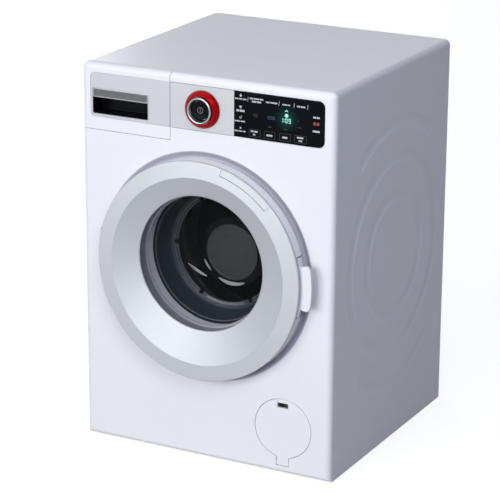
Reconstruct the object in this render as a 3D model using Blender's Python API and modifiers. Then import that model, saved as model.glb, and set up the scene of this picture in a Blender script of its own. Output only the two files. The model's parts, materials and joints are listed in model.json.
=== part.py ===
"""Toy washing machine, a battery front loader for a play kitchen.

Metres, +Z up. X runs across the front and Y from front to back. The origin lies on the
floor, under the middle of the bounding box. Sizes behind the front panel are given as a
depth: zero on the panel's face, positive towards the back, negative towards the child.
"""
import math

import bmesh
import bpy
from mathutils import Matrix, Vector

MM = 0.001
TURN = 2 * math.pi

# Clearances shared by all pieces
GAP = 0.3 * MM
RUNNING_GAP = 0.6 * MM
SINK = 0.6 * MM
OVERRUN = 1.5 * MM
MERGE = 0.001 * MM

# Cabinet
CABINET_WIDTH = 184 * MM
CABINET_DEPTH = 176 * MM
CABINET_HEIGHT = 260 * MM
WALL = 2.4 * MM
EDGE_RADIUS = 4 * MM
EDGE_SEGMENTS = 3
DOOR_PROJECTION = 13 * MM
FRONT = DOOR_PROJECTION - (CABINET_DEPTH + DOOR_PROJECTION) / 2
HALF_WIDTH = CABINET_WIDTH / 2

# Feet and base
FOOT_PROUD = 0.8 * MM
FOOT_RADIUS = 7 * MM
FOOT_RECESS = 1.2 * MM
FOOT_INSET = 16 * MM
BASE_THICKNESS = 2.4 * MM
BASE_RIB_HEIGHT = 4 * MM
BASE_RIB_WIDTH = 1.8 * MM

# Rear cover
REAR_RIM = 2.4 * MM
REAR_LIP_HEIGHT = 4 * MM
REAR_LIP_WIDTH = 1.6 * MM
SCREW_COLUMN_RADIUS = 4.5 * MM
SCREW_COLUMN_INSET = 6.4 * MM
SCREW_COLUMN_LENGTH = 24 * MM
SCREW_COLUMN_HEIGHT_SHARES = (0.055, 0.5, 0.945)
SCREW_HEAD_RADIUS = 2.7 * MM
SCREW_HEAD_HEIGHT = 1.5 * MM
SCREW_SHANK_RADIUS = 1.25 * MM
SCREW_LENGTH = 9 * MM

# Pressed rings in the two side walls
SIDE_RING_DEPTH_CENTRE = 92 * MM
SIDE_RING_HEIGHT_CENTRE = 131 * MM
SIDE_RING_RADII = ((37 * MM, 45.5 * MM), (62.5 * MM, 70.5 * MM))
SIDE_ARC_RADII = (86 * MM, 94.5 * MM)
SIDE_ARC_HALF_ANGLE = math.radians(40)
SIDE_GROOVE = 0.9 * MM
SIDE_GROOVE_SLOPE = 1.6 * MM
SIDE_RING_STEPS = 24
SIDE_ARC_STEPS = 6

# Control band across the top of the front
BAND_LEFT_MARGIN = 6.7 * MM
BAND_RIGHT_MARGIN = 7.8 * MM
BAND_TOP_MARGIN = 6.3 * MM
BAND_HEIGHT = 29.7 * MM
DRAWER_LABEL_WIDTH = 59.5 * MM
FASCIA_WIDTH = 46.6 * MM
BAND_LEFT = BAND_LEFT_MARGIN - HALF_WIDTH
BAND_RIGHT = HALF_WIDTH - BAND_RIGHT_MARGIN
BAND_HIGH = CABINET_HEIGHT - BAND_TOP_MARGIN
BAND_LOW = BAND_HIGH - BAND_HEIGHT
BAND_CORNER = 4 * MM
DRAWER_SEAM = BAND_LEFT + DRAWER_LABEL_WIDTH
DISPLAY_LEFT = DRAWER_SEAM + FASCIA_WIDTH
BAND_POCKET = 0.9 * MM
FASCIA_THICKNESS = 0.6 * MM
DISPLAY_THICKNESS = 0.9 * MM
READOUT_LEFT_INSET = 9.2 * MM
READOUT_RIGHT_INSET = 12.2 * MM
READOUT_LEFT = DISPLAY_LEFT + READOUT_LEFT_INSET
READOUT_RIGHT = BAND_RIGHT - READOUT_RIGHT_INSET
READOUT_MARGIN = 4.5 * MM

# Programme dial and start button
DIAL_FROM_SEAM = 23.8 * MM
DIAL_RISE = 14.5 * MM
DIAL_X = DRAWER_SEAM + DIAL_FROM_SEAM
DIAL_Z = BAND_LOW + DIAL_RISE
DIAL_RING_RADIUS = 12.4 * MM
DIAL_RING_WAIST = 9.9 * MM
DIAL_RING_BORE = 9.2 * MM
DIAL_RING_HEIGHT = 4 * MM
DIAL_RADIUS = 8.7 * MM
DIAL_HEIGHT = 5.4 * MM
DIAL_WALL = 1.3 * MM
DIAL_FLOOR = 1.2 * MM
DIAL_LIFT = 0.4 * MM
DIAL_STEM_RADIUS = 4.2 * MM
DIAL_STEM_BORE = 2.1 * MM
DIAL_STEM_END = 9 * MM
CAP_HEIGHT = 1.7 * MM
CAP_REST = 4.5 * MM
CAP_STEM_RADIUS = 1.5 * MM
CAP_STEM_END = 10.5 * MM
SWITCH_SIZE = 12 * MM
SWITCH_DEPTH = 3.2 * MM

# Detergent drawer
DRAWER_BORDER = 8.5 * MM
DRAWER_LOW = BAND_LOW - DRAWER_BORDER
DRAWER_FRONT_DEPTH = 4.2 * MM
DRAWER_FRONT_SKIN = 2.2 * MM
DRAWER_WEB = 2.4 * MM
LABEL_THICKNESS = 0.5 * MM
GRIP_WIDTH = 41.1 * MM
GRIP_HEIGHT = 16.6 * MM
GRIP_LEFT_MARGIN = 2 * MM
GRIP_LOW_MARGIN = 2.5 * MM
GRIP_LEFT = BAND_LEFT + GRIP_LEFT_MARGIN
GRIP_RIGHT = GRIP_LEFT + GRIP_WIDTH
GRIP_LOW = BAND_LOW + GRIP_LOW_MARGIN
GRIP_HIGH = GRIP_LOW + GRIP_HEIGHT
GRIP_DEPTH = 12 * MM
GRIP_WALL = 1.2 * MM
GRIP_CORNER = 1 * MM
TRIM_PROUD = 0.4 * MM
TRIM_STRIP_HEIGHT = 5.4 * MM
TRAY_LEFT_MARGIN = 6.5 * MM
TRAY_SEAM_MARGIN = 6.2 * MM
TRAY_DROP = 4 * MM
TRAY_TOP_MARGIN = 10 * MM
TRAY_LEFT = TRAY_LEFT_MARGIN - HALF_WIDTH
TRAY_RIGHT = DRAWER_SEAM - TRAY_SEAM_MARGIN
TRAY_LOW = BAND_LOW - TRAY_DROP
TRAY_HIGH = CABINET_HEIGHT - TRAY_TOP_MARGIN
TRAY_LENGTH = 84 * MM
TRAY_WALL = 1.6 * MM
TRAY_DIVIDERS_AT_SHARES = (0.3, 0.66)
CHUTE_WALL = 1.5 * MM

# Door dish and opening in the front panel
DOOR_Z = 133.5 * MM
WINDOW_RISE = 4.3 * MM
DISH_RADIUS = 76.5 * MM
DISH_FLOOR_RADIUS = 75.6 * MM
DISH_DEPTH = 2.5 * MM
DISH_WALL = 2.5 * MM
MOUTH_RADIUS = 46 * MM
MOUTH_WALL = 2 * MM
MOUTH_DEPTH = 11.5 * MM
MOUTH_STEPS = 40
BACKING_STEPS = 28

# Door
DOOR_RADIUS = 73.7 * MM
DOOR_RIDGE_RADIUS = 62.9 * MM
DOOR_WINDOW_RADIUS = 45.2 * MM
DOOR_EDGE_HEIGHT = 11.5 * MM
DOOR_WINDOW_HEIGHT = 7 * MM
DOOR_BACK_HEIGHT = 2.5 * MM
DOOR_SKIN = 1.5 * MM
DOOR_WALL = 2 * MM
DOOR_THROAT_WALL = 1.6 * MM
DOOR_THROAT_FLARE = 0.5 * MM
DOOR_THROAT_END = 1.6 * MM
DOOR_BLEND_RADIUS = 50 * MM
DOOR_STEPS = 48
PANE_THICKNESS = 1.2 * MM
PANE_SEAT = 1.2 * MM
PANE_BULGE = 2.2 * MM

# Door hinge
HINGE_X = -74.5 * MM
HINGE_HEIGHT = 4.5 * MM
HINGE_BARREL_RADIUS = 2.3 * MM
HINGE_BARREL_HALF = 11.5 * MM
HINGE_EAR_THICKNESS = 5 * MM
HINGE_PIN_RADIUS = 1.0 * MM
HINGE_EAR_RADIUS = 2.2 * MM

# Door handle
HANDLE_HALF_ANGLE = math.radians(15.6)
HANDLE_GRIP_HALF_ANGLE = math.radians(11)
HANDLE_REACH = 81 * MM
HANDLE_END_REACH = 79.2 * MM
HANDLE_INNER_RADIUS = 66.5 * MM
HANDLE_TOP = 8.8 * MM
HANDLE_GRIP_THICKNESS = 2.6 * MM
HANDLE_BACK = 3.1 * MM
HANDLE_PIVOT_X = 69 * MM
HANDLE_PIVOT_HEIGHT = 5 * MM
HANDLE_PIN_RADIUS = 0.8 * MM
HANDLE_PIN_HALF = 22 * MM
TONGUE_HALF_WIDTH = 4 * MM
TONGUE_THICKNESS = 2.4 * MM
TONGUE_END = 8.5 * MM
LATCH_SLOT_HALF_WIDTH = 5.5 * MM
LATCH_SLOT_INNER = 1.6 * MM
LATCH_SLOT_OUTER = 3.4 * MM
CATCH_WALL = 1.4 * MM
CATCH_DEPTH = 6.2 * MM

# Service flap
FLAP_FROM_SIDE = 34.6 * MM
FLAP_X = HALF_WIDTH - FLAP_FROM_SIDE
FLAP_Z = 32.5 * MM
FLAP_RADIUS = 20.4 * MM
FLAP_THICKNESS = 1.8 * MM
FLAP_LEDGE = 1.8 * MM
FLAP_POCKET = 12 * MM
FLAP_POCKET_WALL = 2 * MM
FLAP_TAB_WIDTH = 9 * MM
FLAP_TAB_LEFT = FLAP_X - FLAP_TAB_WIDTH / 2
FLAP_TAB_RIGHT = FLAP_X + FLAP_TAB_WIDTH / 2
FLAP_PIVOT_Z = 8.6 * MM
FLAP_PIVOT_DEPTH = 2.2 * MM
FLAP_TRUNNION_RADIUS = 1 * MM
FLAP_TRUNNION_REACH = 2.4 * MM
FLAP_NOTCH_HEIGHT = 4.2 * MM
FLAP_NOTCH_BORDER = 1.9 * MM
FLAP_NOTCH_HIGH = FLAP_Z + FLAP_RADIUS - FLAP_NOTCH_BORDER
FLAP_NOTCH_LOW = FLAP_NOTCH_HIGH - FLAP_NOTCH_HEIGHT

# Door seal
SEAL_FLANGE_RADIUS = 52 * MM
SEAL_MOUTH_RADIUS = 44.3 * MM
SEAL_THROAT_RADIUS = 38.6 * MM
SEAL_START = 12 * MM
SEAL_END = 30 * MM
SEAL_WALL = 1.4 * MM
SEAL_LIP = 1.6 * MM
SEAL_NOTCHES = 6
SEAL_NOTCH_WIDTH = 2 * MM
SEAL_STEPS = 30

# Tub
TUB_RADIUS = 66 * MM
TUB_WALL = 2 * MM
TUB_END = 84 * MM
TUB_MOUTH_RADIUS = 47.5 * MM
TUB_STEPS = 28
TUB_EAR_RADIUS = 5 * MM
TUB_EAR_AT_RADIUS = 71.5 * MM
TUB_EAR_ANGLES = tuple(math.radians(a) for a in (45, 135, 225, 315))
TUB_EAR_THICKNESS = 2.4 * MM

# Drum
DRUM_RADIUS = 60 * MM
DRUM_WALL = 1.7 * MM
DRUM_START = 31.5 * MM
DRUM_END = 79 * MM
DRUM_MOUTH_RADIUS = 46.5 * MM
DRUM_STEPS = 28
DRUM_BOWL_STEPS = 4
HUB_FACE = 37.4 * MM
HUB_TOP_RADIUS = 18.6 * MM
HUB_FOOT_RADIUS = 23.5 * MM
HUB_BOSS_RADIUS = 6 * MM
HUB_CAP_RADIUS = 19.3 * MM
HUB_CAP_THICKNESS = 1.3 * MM
HUB_CAP_RIM = 1.2 * MM
LIFTERS = 3
LIFTER_REACH_SHARES = (1.0, 0.93, 0.86, 0.80, 0.775)
LIFTER_LEAN_SHARES = (0.19, 0.15, 0.115, 0.09, 0.06)
LIFTER_TRAIL_SHARES = (0.05, 0.04, 0.03, 0.02, 0.01)
LIFTER_SWEEP = math.radians(11.5)
LIFTER_START = 39 * MM
LIFTER_END = 66 * MM

# Drive: shaft, bush, gears and motor
SHAFT_RADIUS = 2.5 * MM
SHAFT_START = 46 * MM
SHAFT_END = 97 * MM
BUSH_RADIUS = 5.4 * MM
BUSH_FLANGE_RADIUS = 8 * MM
BUSH_FLANGE = 1.6 * MM
BUSH_BOSS_WALL = 2.2 * MM
GEAR_MODULE = 1.5 * MM
DRUM_TEETH = 30
IDLER_SMALL_TEETH = 10
IDLER_BIG_TEETH = 24
PINION_TEETH = 8
GEAR_THICKNESS = 5 * MM
GEAR_AXIAL_GAP = 0.8 * MM
GEAR_START = 88.5 * MM
MESH_CLEARANCE = 0.35 * MM
TOOTH_ADDENDUM_SHARE = 0.85
TOOTH_DEDENDUM_SHARE = 1.15
TOOTH_ROOT_SHARE = 0.56
TOOTH_TIP_SHARE = 0.20
DRUM_GEAR_LIGHTENING = 4
DRUM_GEAR_HOLE_SHARE = 0.26
IDLER_DIRECTION = math.radians(-55)
PINION_DIRECTION = math.radians(-15)
IDLER_BORE = 1.6 * MM
IDLER_PIN_RADIUS = 1.2 * MM
MOTOR_RADIUS = 12 * MM
MOTOR_FLAT = 9 * MM
MOTOR_LENGTH = 27 * MM
MOTOR_SHAFT_RADIUS = 1 * MM
MOTOR_NOSE_RADIUS = 3 * MM
MOTOR_NOSE = 2 * MM
GEAR_PLATE_THICKNESS = 2.4 * MM
GEAR_PLATE_MARGIN = 5 * MM
GEAR_POST_RADIUS = 4 * MM
GEAR_POST_AT_RADIUS = 36 * MM
GEAR_POST_ANGLES = tuple(math.radians(a) for a in (60, 165, 248, 12))

# Power and electronics
CELL_RADIUS = 13 * MM
CELL_LENGTH = 47.5 * MM
CELL_TIP_RADIUS = 3.4 * MM
CELL_TIP = 1.6 * MM
CELL_GAP = 1 * MM
CELL_END_ROOM = 3 * MM
CELL_COLUMNS = 2
CELL_ROWS = 2
BATTERY_BOX_WALL = 1.8 * MM
BATTERY_BOX_LOW = 12 * MM
BATTERY_COVER_THICKNESS = 2 * MM
BATTERY_COVER_LEDGE = 2.4 * MM
BOARD_SEAM_MARGIN = 5.8 * MM
BOARD_SIDE_MARGIN = 12 * MM
BOARD_DROP = 1 * MM
BOARD_TOP_MARGIN = 6 * MM
BOARD_LEFT = DRAWER_SEAM + BOARD_SEAM_MARGIN
BOARD_RIGHT = HALF_WIDTH - BOARD_SIDE_MARGIN
BOARD_LOW = BAND_LOW - BOARD_DROP
BOARD_HIGH = CABINET_HEIGHT - BOARD_TOP_MARGIN
BOARD_DEPTH = 12.5 * MM
BOARD_THICKNESS = 1.6 * MM
BOARD_POST_RADIUS = 2.6 * MM
BOARD_POST_INSET = 4 * MM
CHIP_SHARES = ((0.30, 0.35, 0.10, 0.30), (0.62, 0.55, 0.07, 0.22), (0.80, 0.35, 0.05, 0.4))
CHIP_HEIGHT = 1.8 * MM
SPEAKER_RADIUS = 18 * MM
SPEAKER_DEPTH = 7 * MM
SPEAKER_FROM_SIDE = 40 * MM
SPEAKER_FROM_TOP = 55 * MM
SPEAKER_X = HALF_WIDTH - SPEAKER_FROM_SIDE
SPEAKER_Z = CABINET_HEIGHT - SPEAKER_FROM_TOP
SPEAKER_SLOTS = 7
SPEAKER_SLOT_PITCH = 4.4 * MM
SPEAKER_SLOT_WIDTH = 1.8 * MM
SPEAKER_COLLAR_WALL = 1.4 * MM

# Derived places
INNER_HALF = HALF_WIDTH - WALL
INNER_TOP = CABINET_HEIGHT - WALL
CABINET_END = CABINET_DEPTH - REAR_RIM - GAP
HALF_GAP = GAP / 2
MOUTH_Z = DOOR_Z + WINDOW_RISE
WEB_FRONT = DRAWER_FRONT_DEPTH + GAP
WEB_BACK = WEB_FRONT + DRAWER_WEB
COVER_BACK = CABINET_DEPTH
COVER_FRONT = CABINET_DEPTH - REAR_RIM

part = bpy.data.collections.new("toy_washing_machine")
cutters = bpy.data.collections.new("cutters")


def clear_scene():
    for old in list(bpy.data.objects):
        bpy.data.objects.remove(old, do_unlink=True)
    bpy.context.scene.collection.children.link(part)
    bpy.context.scene.collection.children.link(cutters)


def material(name, colour, roughness=0.4, metallic=0.0, transmission=0.0):
    made = bpy.data.materials.new(name)
    made.use_nodes = True
    shader = made.node_tree.nodes["Principled BSDF"]
    shader.inputs["Base Color"].default_value = (*colour, 1.0)
    shader.inputs["Roughness"].default_value = roughness
    shader.inputs["Metallic"].default_value = metallic
    shader.inputs["Transmission Weight"].default_value = transmission
    return made


WHITE = material("white_plastic", (0.78, 0.79, 0.84), 0.3)
SILVER = material("silver_paint", (0.56, 0.58, 0.60), 0.38, 0.35)
BRUSHED = material("brushed_silver_foil", (0.62, 0.63, 0.65), 0.35, 0.7)
BLACK_GLOSS = material("black_gloss", (0.006, 0.007, 0.010), 0.12)
BLACK = material("black_plastic", (0.012, 0.013, 0.016), 0.35)
CHARCOAL = material("charcoal_plastic", (0.045, 0.046, 0.05), 0.4)
SEAL_GREY = material("seal_grey", (0.03, 0.035, 0.04), 0.3)
RED = material("red_clear_plastic", (0.5, 0.008, 0.008), 0.15)
CHROME = material("chrome_plate", (0.75, 0.76, 0.78), 0.12, 1.0)
CLEAR = material("clear_plastic", (0.9, 0.92, 0.94), 0.05, 0.0, 0.9)
STEEL = material("steel", (0.5, 0.5, 0.52), 0.3, 1.0)
ACETAL = material("natural_acetal", (0.75, 0.74, 0.70), 0.4)
BRASS = material("brass", (0.65, 0.48, 0.2), 0.3, 1.0)
BOARD_GREEN = material("board_green", (0.02, 0.18, 0.08), 0.5)
RUBBER = material("grey_rubber", (0.08, 0.08, 0.08), 0.8)
CELL_COAT = material("cell_jacket", (0.05, 0.12, 0.3), 0.35)


def place(obj, mat=None):
    """Puts an object among the parts, or among the cutters when it has no material."""
    if mat is None:
        cutters.objects.link(obj)
        obj.hide_render = True
        obj.display_type = "WIRE"
    else:
        part.objects.link(obj)
        obj.data.materials.clear()
        obj.data.materials.append(mat)
    return obj


def from_bmesh(name, mesh_data, mat=None):
    mesh = bpy.data.meshes.new(name)
    mesh_data.to_mesh(mesh)
    mesh_data.free()
    return place(bpy.data.objects.new(name, mesh), mat)


def at(x, depth, z):
    """World point at a depth behind the front panel's face."""
    return Vector((x, FRONT + depth, z))


def block(name, xs, depths, zs, mat=None):
    """A box between two corners."""
    shape = bmesh.new()
    bmesh.ops.create_cube(shape, size=1)
    low = at(xs[0], depths[0], zs[0])
    high = at(xs[1], depths[1], zs[1])
    bmesh.ops.scale(shape, vec=high - low, verts=shape.verts)
    bmesh.ops.translate(shape, vec=(high + low) / 2, verts=shape.verts)
    return from_bmesh(name, shape, mat)


def rod(name, radius, start, end, mat=None, sides=16, end_radius=None):
    """A straight cylinder or cone between two world points."""
    shape = bmesh.new()
    run = end - start
    tip = radius if end_radius is None else end_radius
    bmesh.ops.create_cone(shape, cap_ends=True, segments=sides, radius1=radius, radius2=tip,
                          depth=run.length)
    turn = Vector((0, 0, 1)).rotation_difference(run).to_matrix().to_4x4()
    bmesh.ops.transform(shape, matrix=Matrix.Translation((start + end) / 2) @ turn,
                        verts=shape.verts)
    obj = from_bmesh(name, shape, mat)
    smooth(obj)
    return obj


def smooth(obj):
    obj.data.shade_smooth()
    obj.data.set_sharp_from_angle(angle=math.radians(35))


def as_mesh(obj, mat=None):
    """Replaces an object by its evaluated mesh, with doubles merged."""
    graph = bpy.context.evaluated_depsgraph_get()
    mesh = bpy.data.meshes.new_from_object(obj.evaluated_get(graph))
    shape = bmesh.new()
    shape.from_mesh(mesh)
    bmesh.ops.remove_doubles(shape, verts=shape.verts, dist=MERGE)
    bmesh.ops.recalc_face_normals(shape, faces=shape.faces)
    shape.to_mesh(mesh)
    shape.free()
    name = obj.name
    matrix = obj.matrix_world.copy()
    bpy.data.objects.remove(obj, do_unlink=True)
    made = bpy.data.objects.new(name, mesh)
    made.matrix_world = matrix
    return place(made, mat)


def turned(name, profile, x, z, mat=None, steps=32, ring=True, across=False):
    """A turned shape about a line through x, z that runs from front to back.

    The profile is a list of (radius, depth). A ring's profile closes on itself; a solid's
    starts and ends on the axis. Across turns it about a line that runs along X instead, with
    x as a depth and the profile's second value measured along X.
    """
    mesh = bpy.data.meshes.new(name)
    points = [(radius, 0, -depth) for radius, depth in profile]
    count = len(points)
    edges = [(i, (i + 1) % count) for i in range(count if ring else count - 1)]
    mesh.from_pydata(points, edges, [])
    obj = place(bpy.data.objects.new(name, mesh), mat)
    screw = obj.modifiers.new("turn", "SCREW")
    screw.axis = "Z"
    screw.steps = steps
    screw.render_steps = steps
    screw.use_merge_vertices = True
    screw.merge_threshold = MERGE
    screw.use_smooth_shade = False
    obj.location = (x, FRONT, z)
    obj.rotation_euler = (math.pi / 2, 0, 0)
    if across:
        obj.location = (0, FRONT + x, z)
        obj.rotation_euler = (0, -math.pi / 2, 0)
    bpy.context.view_layer.update()
    return obj


def flat_shape(name, outline, depths, mat=None, centre=(0, 0)):
    """A flat outline of (x, z) points, filled and extruded between two depths."""
    shape = bmesh.new()
    front = shape.faces.new([shape.verts.new(at(centre[0] + x, depths[0], centre[1] + z))
                             for x, z in outline])
    grown = bmesh.ops.extrude_face_region(shape, geom=[front])
    moved = [item for item in grown["geom"] if isinstance(item, bmesh.types.BMVert)]
    bmesh.ops.translate(shape, vec=Vector((0, depths[1] - depths[0], 0)), verts=moved)
    bmesh.ops.recalc_face_normals(shape, faces=shape.faces)
    return from_bmesh(name, shape, mat)


def arc(radius, start, end, steps, centre=(0, 0)):
    """Points along an arc, both ends included."""
    turn = (end - start) / steps
    return [(centre[0] + radius * math.cos(start + turn * i),
             centre[1] + radius * math.sin(start + turn * i)) for i in range(steps + 1)]


def rounded_box_outline(xs, zs, radii, steps=4):
    """A rectangle's outline with a radius for each corner, from low left anticlockwise."""
    corners = ((xs[0], zs[0], 1, 1, 2), (xs[1], zs[0], -1, 1, 3),
               (xs[1], zs[1], -1, -1, 0), (xs[0], zs[1], 1, -1, 1))
    outline = []
    for (x, z, inward_x, inward_z, quarter), radius in zip(corners, radii):
        if radius == 0:
            outline.append((x, z))
            continue
        start = quarter * TURN / 4
        outline += arc(radius, start, start + TURN / 4, steps,
                       (x + inward_x * radius, z + inward_z * radius))
    return outline


def combine(target, others, operation):
    for other in others:
        if other.name in part.objects:
            part.objects.unlink(other)
            cutters.objects.link(other)
            other.hide_render = True
            other.display_type = "WIRE"
        change = target.modifiers.new(operation.lower(), "BOOLEAN")
        change.operation = operation
        change.object = other
        change.solver = "EXACT"
    return target


def cut(target, *others):
    return combine(target, others, "DIFFERENCE")


def add(target, *others):
    return combine(target, others, "UNION")


def cabinet_form(name, mat=None):
    """The cabinet's outer block, rounded on the front, the top and the upright edges."""
    shape = bmesh.new()
    bmesh.ops.create_cube(shape, size=1)
    low = at(-HALF_WIDTH, 0, FOOT_PROUD)
    high = at(HALF_WIDTH, CABINET_END, CABINET_HEIGHT)
    bmesh.ops.scale(shape, vec=high - low, verts=shape.verts)
    bmesh.ops.translate(shape, vec=(high + low) / 2, verts=shape.verts)
    rounded = []
    for edge in shape.edges:
        middle = (edge.verts[0].co + edge.verts[1].co) / 2
        on_front = middle.y < low.y + MERGE
        on_top = middle.z > high.z - MERGE
        on_back = middle.y > high.y - MERGE
        if on_front or (on_top and not on_back):
            rounded.append(edge)
    bmesh.ops.bevel(shape, geom=rounded, offset=EDGE_RADIUS, segments=EDGE_SEGMENTS,
                    profile=0.5, affect="EDGES")
    return from_bmesh(name, shape, mat)


def side_grooves(side):
    """Cutters for the pressed rings of one side wall. side is +1 at right, -1 at left."""
    made = []
    face = side * HALF_WIDTH
    for number, (inner, outer) in enumerate(SIDE_RING_RADII):
        made.append(groove_ring(f"groove_{number}_{side}", inner, outer, face, side))
    for upright in (1, -1):
        made.append(groove_arc(f"arc_groove_{upright}_{side}", face, side, upright))
    return made


def groove_ring(name, inner, outer, face, side):
    """A full ring with sloping walls, turned about a line across the cabinet."""
    half_slope = SIDE_GROOVE_SLOPE / 2
    rise = OVERRUN / SIDE_GROOVE * SIDE_GROOVE_SLOPE
    floor = face - side * SIDE_GROOVE
    sky = face + side * OVERRUN
    profile = [(inner - half_slope - rise, sky), (outer + half_slope + rise, sky),
               (outer - half_slope, floor), (inner + half_slope, floor)]
    if side < 0:
        profile.reverse()
    ring = turned(name, [(radius, -along) for radius, along in profile],
                  SIDE_RING_DEPTH_CENTRE, SIDE_RING_HEIGHT_CENTRE,
                  steps=SIDE_RING_STEPS, across=True)
    return as_mesh(ring)


def groove_arc(name, face, side, upright):
    """A part ring above or below the full ones, lofted from its floor to its mouth."""
    inner, outer = SIDE_ARC_RADII
    half_slope = SIDE_GROOVE_SLOPE / 2
    rise = OVERRUN / SIDE_GROOVE * SIDE_GROOVE_SLOPE
    shape = bmesh.new()
    loops = []
    for along, spread in ((face - side * SIDE_GROOVE, -half_slope),
                          (face + side * OVERRUN, half_slope + rise)):
        more = spread / outer
        start = upright * TURN / 4 - SIDE_ARC_HALF_ANGLE - more
        end = upright * TURN / 4 + SIDE_ARC_HALF_ANGLE + more
        outline = arc(outer + spread, start, end, SIDE_ARC_STEPS)
        outline += arc(inner - spread, end, start, SIDE_ARC_STEPS)
        loops.append([shape.verts.new((along, FRONT + SIDE_RING_DEPTH_CENTRE + y,
                                       SIDE_RING_HEIGHT_CENTRE + z)) for y, z in outline])
    for loop in loops:
        shape.faces.new(loop)
    edges = [edge for face_made in shape.faces for edge in face_made.edges]
    bmesh.ops.bridge_loops(shape, edges=edges)
    bmesh.ops.recalc_face_normals(shape, faces=shape.faces)
    return from_bmesh(name, shape)


def screw_columns():
    """Places of the rear cover's screws, as (x, z)."""
    return [(side * (HALF_WIDTH - SCREW_COLUMN_INSET), share * CABINET_HEIGHT)
            for side in (-1, 1) for share in SCREW_COLUMN_HEIGHT_SHARES]


def tub_ear_outline(angle):
    """A round-ended ear that grows out of the tub's wall."""
    outline = arc(TUB_EAR_RADIUS, angle - TURN / 4, angle + TURN / 4, 4,
                  (TUB_EAR_AT_RADIUS * math.cos(angle), TUB_EAR_AT_RADIUS * math.sin(angle)))
    root = TUB_RADIUS - TUB_WALL
    spread = TUB_EAR_RADIUS / root
    outline += [(root * math.cos(angle + spread), root * math.sin(angle + spread)),
                (root * math.cos(angle - spread), root * math.sin(angle - spread))]
    return outline


def tub_ear_places():
    return [(TUB_EAR_AT_RADIUS * math.cos(a), DOOR_Z + TUB_EAR_AT_RADIUS * math.sin(a))
            for a in TUB_EAR_ANGLES]


def board_post_places():
    xs = (BOARD_LEFT + BOARD_POST_INSET, BOARD_RIGHT - BOARD_POST_INSET)
    zs = (BOARD_LOW + BOARD_POST_INSET, BOARD_HIGH - BOARD_POST_INSET)
    return [(x, z) for x in xs for z in zs]


def flap_outline(gap):
    """Round flap with a hinge tab at its foot, grown by a gap all round."""
    radius = FLAP_RADIUS + gap
    half = (FLAP_TAB_RIGHT - FLAP_TAB_LEFT) / 2 + gap
    tab_angle = math.asin(half / radius)
    start = -TURN / 4 + tab_angle
    end = TURN * 3 / 4 - tab_angle
    outline = arc(radius, start, end, 28, (FLAP_X, FLAP_Z))
    foot = FLAP_PIVOT_Z if gap == 0 else FLAP_PIVOT_Z - FLAP_PIVOT_DEPTH - gap
    return outline + [(FLAP_X - half, foot), (FLAP_X + half, foot)]


def housing():
    """Front, sides and top in one moulding, open at the back and underneath."""
    body = cabinet_form("housing", WHITE)
    cut(body, block("cavity", (-INNER_HALF, INNER_HALF), (WALL, CABINET_END + OVERRUN),
                    (-OVERRUN, INNER_TOP)))
    ledge_right = DRAWER_SEAM + HALF_GAP + WALL
    ledge_low = DRAWER_LOW - HALF_GAP - WALL
    add(body, block("drawer_web", (-INNER_HALF - SINK, ledge_right), (WALL - SINK, WEB_BACK),
                    (ledge_low, INNER_TOP + SINK)))
    dish_back = DISH_DEPTH + DISH_WALL
    add(body, turned("dish_backing", [(0, WALL - SINK), (DISH_RADIUS + WALL, WALL - SINK),
                                      (DISH_RADIUS + WALL, dish_back), (0, dish_back)],
                     0, DOOR_Z, steps=BACKING_STEPS, ring=False))
    collar = MOUTH_RADIUS + MOUTH_WALL
    add(body, turned("mouth_collar", [(0, dish_back - SINK), (collar, dish_back - SINK),
                                      (collar, MOUTH_DEPTH), (0, MOUTH_DEPTH)],
                     0, MOUTH_Z, steps=BACKING_STEPS, ring=False))
    pocket_end = FLAP_POCKET + FLAP_POCKET_WALL
    pocket_outer = FLAP_RADIUS + FLAP_POCKET_WALL
    add(body, turned("flap_backing", [(0, WALL - SINK), (pocket_outer, WALL - SINK),
                                      (pocket_outer, pocket_end), (0, pocket_end)],
                     FLAP_X, FLAP_Z, steps=20, ring=False))
    add_flap_bearing(body)
    add_posts(body)
    cut_front(body)
    for side in (-1, 1):
        cut(body, *side_grooves(side))
    cut(body, turned("dish", [(0, -OVERRUN), (DISH_RADIUS, -OVERRUN), (DISH_RADIUS, 0),
                              (DISH_FLOOR_RADIUS, DISH_DEPTH), (0, DISH_DEPTH)],
                     0, DOOR_Z, steps=MOUTH_STEPS, ring=False))
    add_hinge_ears(body)
    cut(body, rod("mouth", MOUTH_RADIUS, at(0, 0, MOUTH_Z), at(0, MOUTH_DEPTH + OVERRUN, MOUTH_Z),
                  sides=MOUTH_STEPS))
    return body


def add_flap_bearing(body):
    """A thick bar behind the hinge tab, which the flap's trunnions run in."""
    reach = FLAP_TRUNNION_REACH + 2 * GAP + WALL
    low = FLAP_PIVOT_Z - FLAP_PIVOT_DEPTH - WALL
    add(body, block("flap_bearing", (FLAP_TAB_LEFT - reach, FLAP_TAB_RIGHT + reach),
                    (WALL - SINK, 2 * FLAP_PIVOT_DEPTH + WALL),
                    (low, FLAP_Z - FLAP_RADIUS + WALL)))


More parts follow.
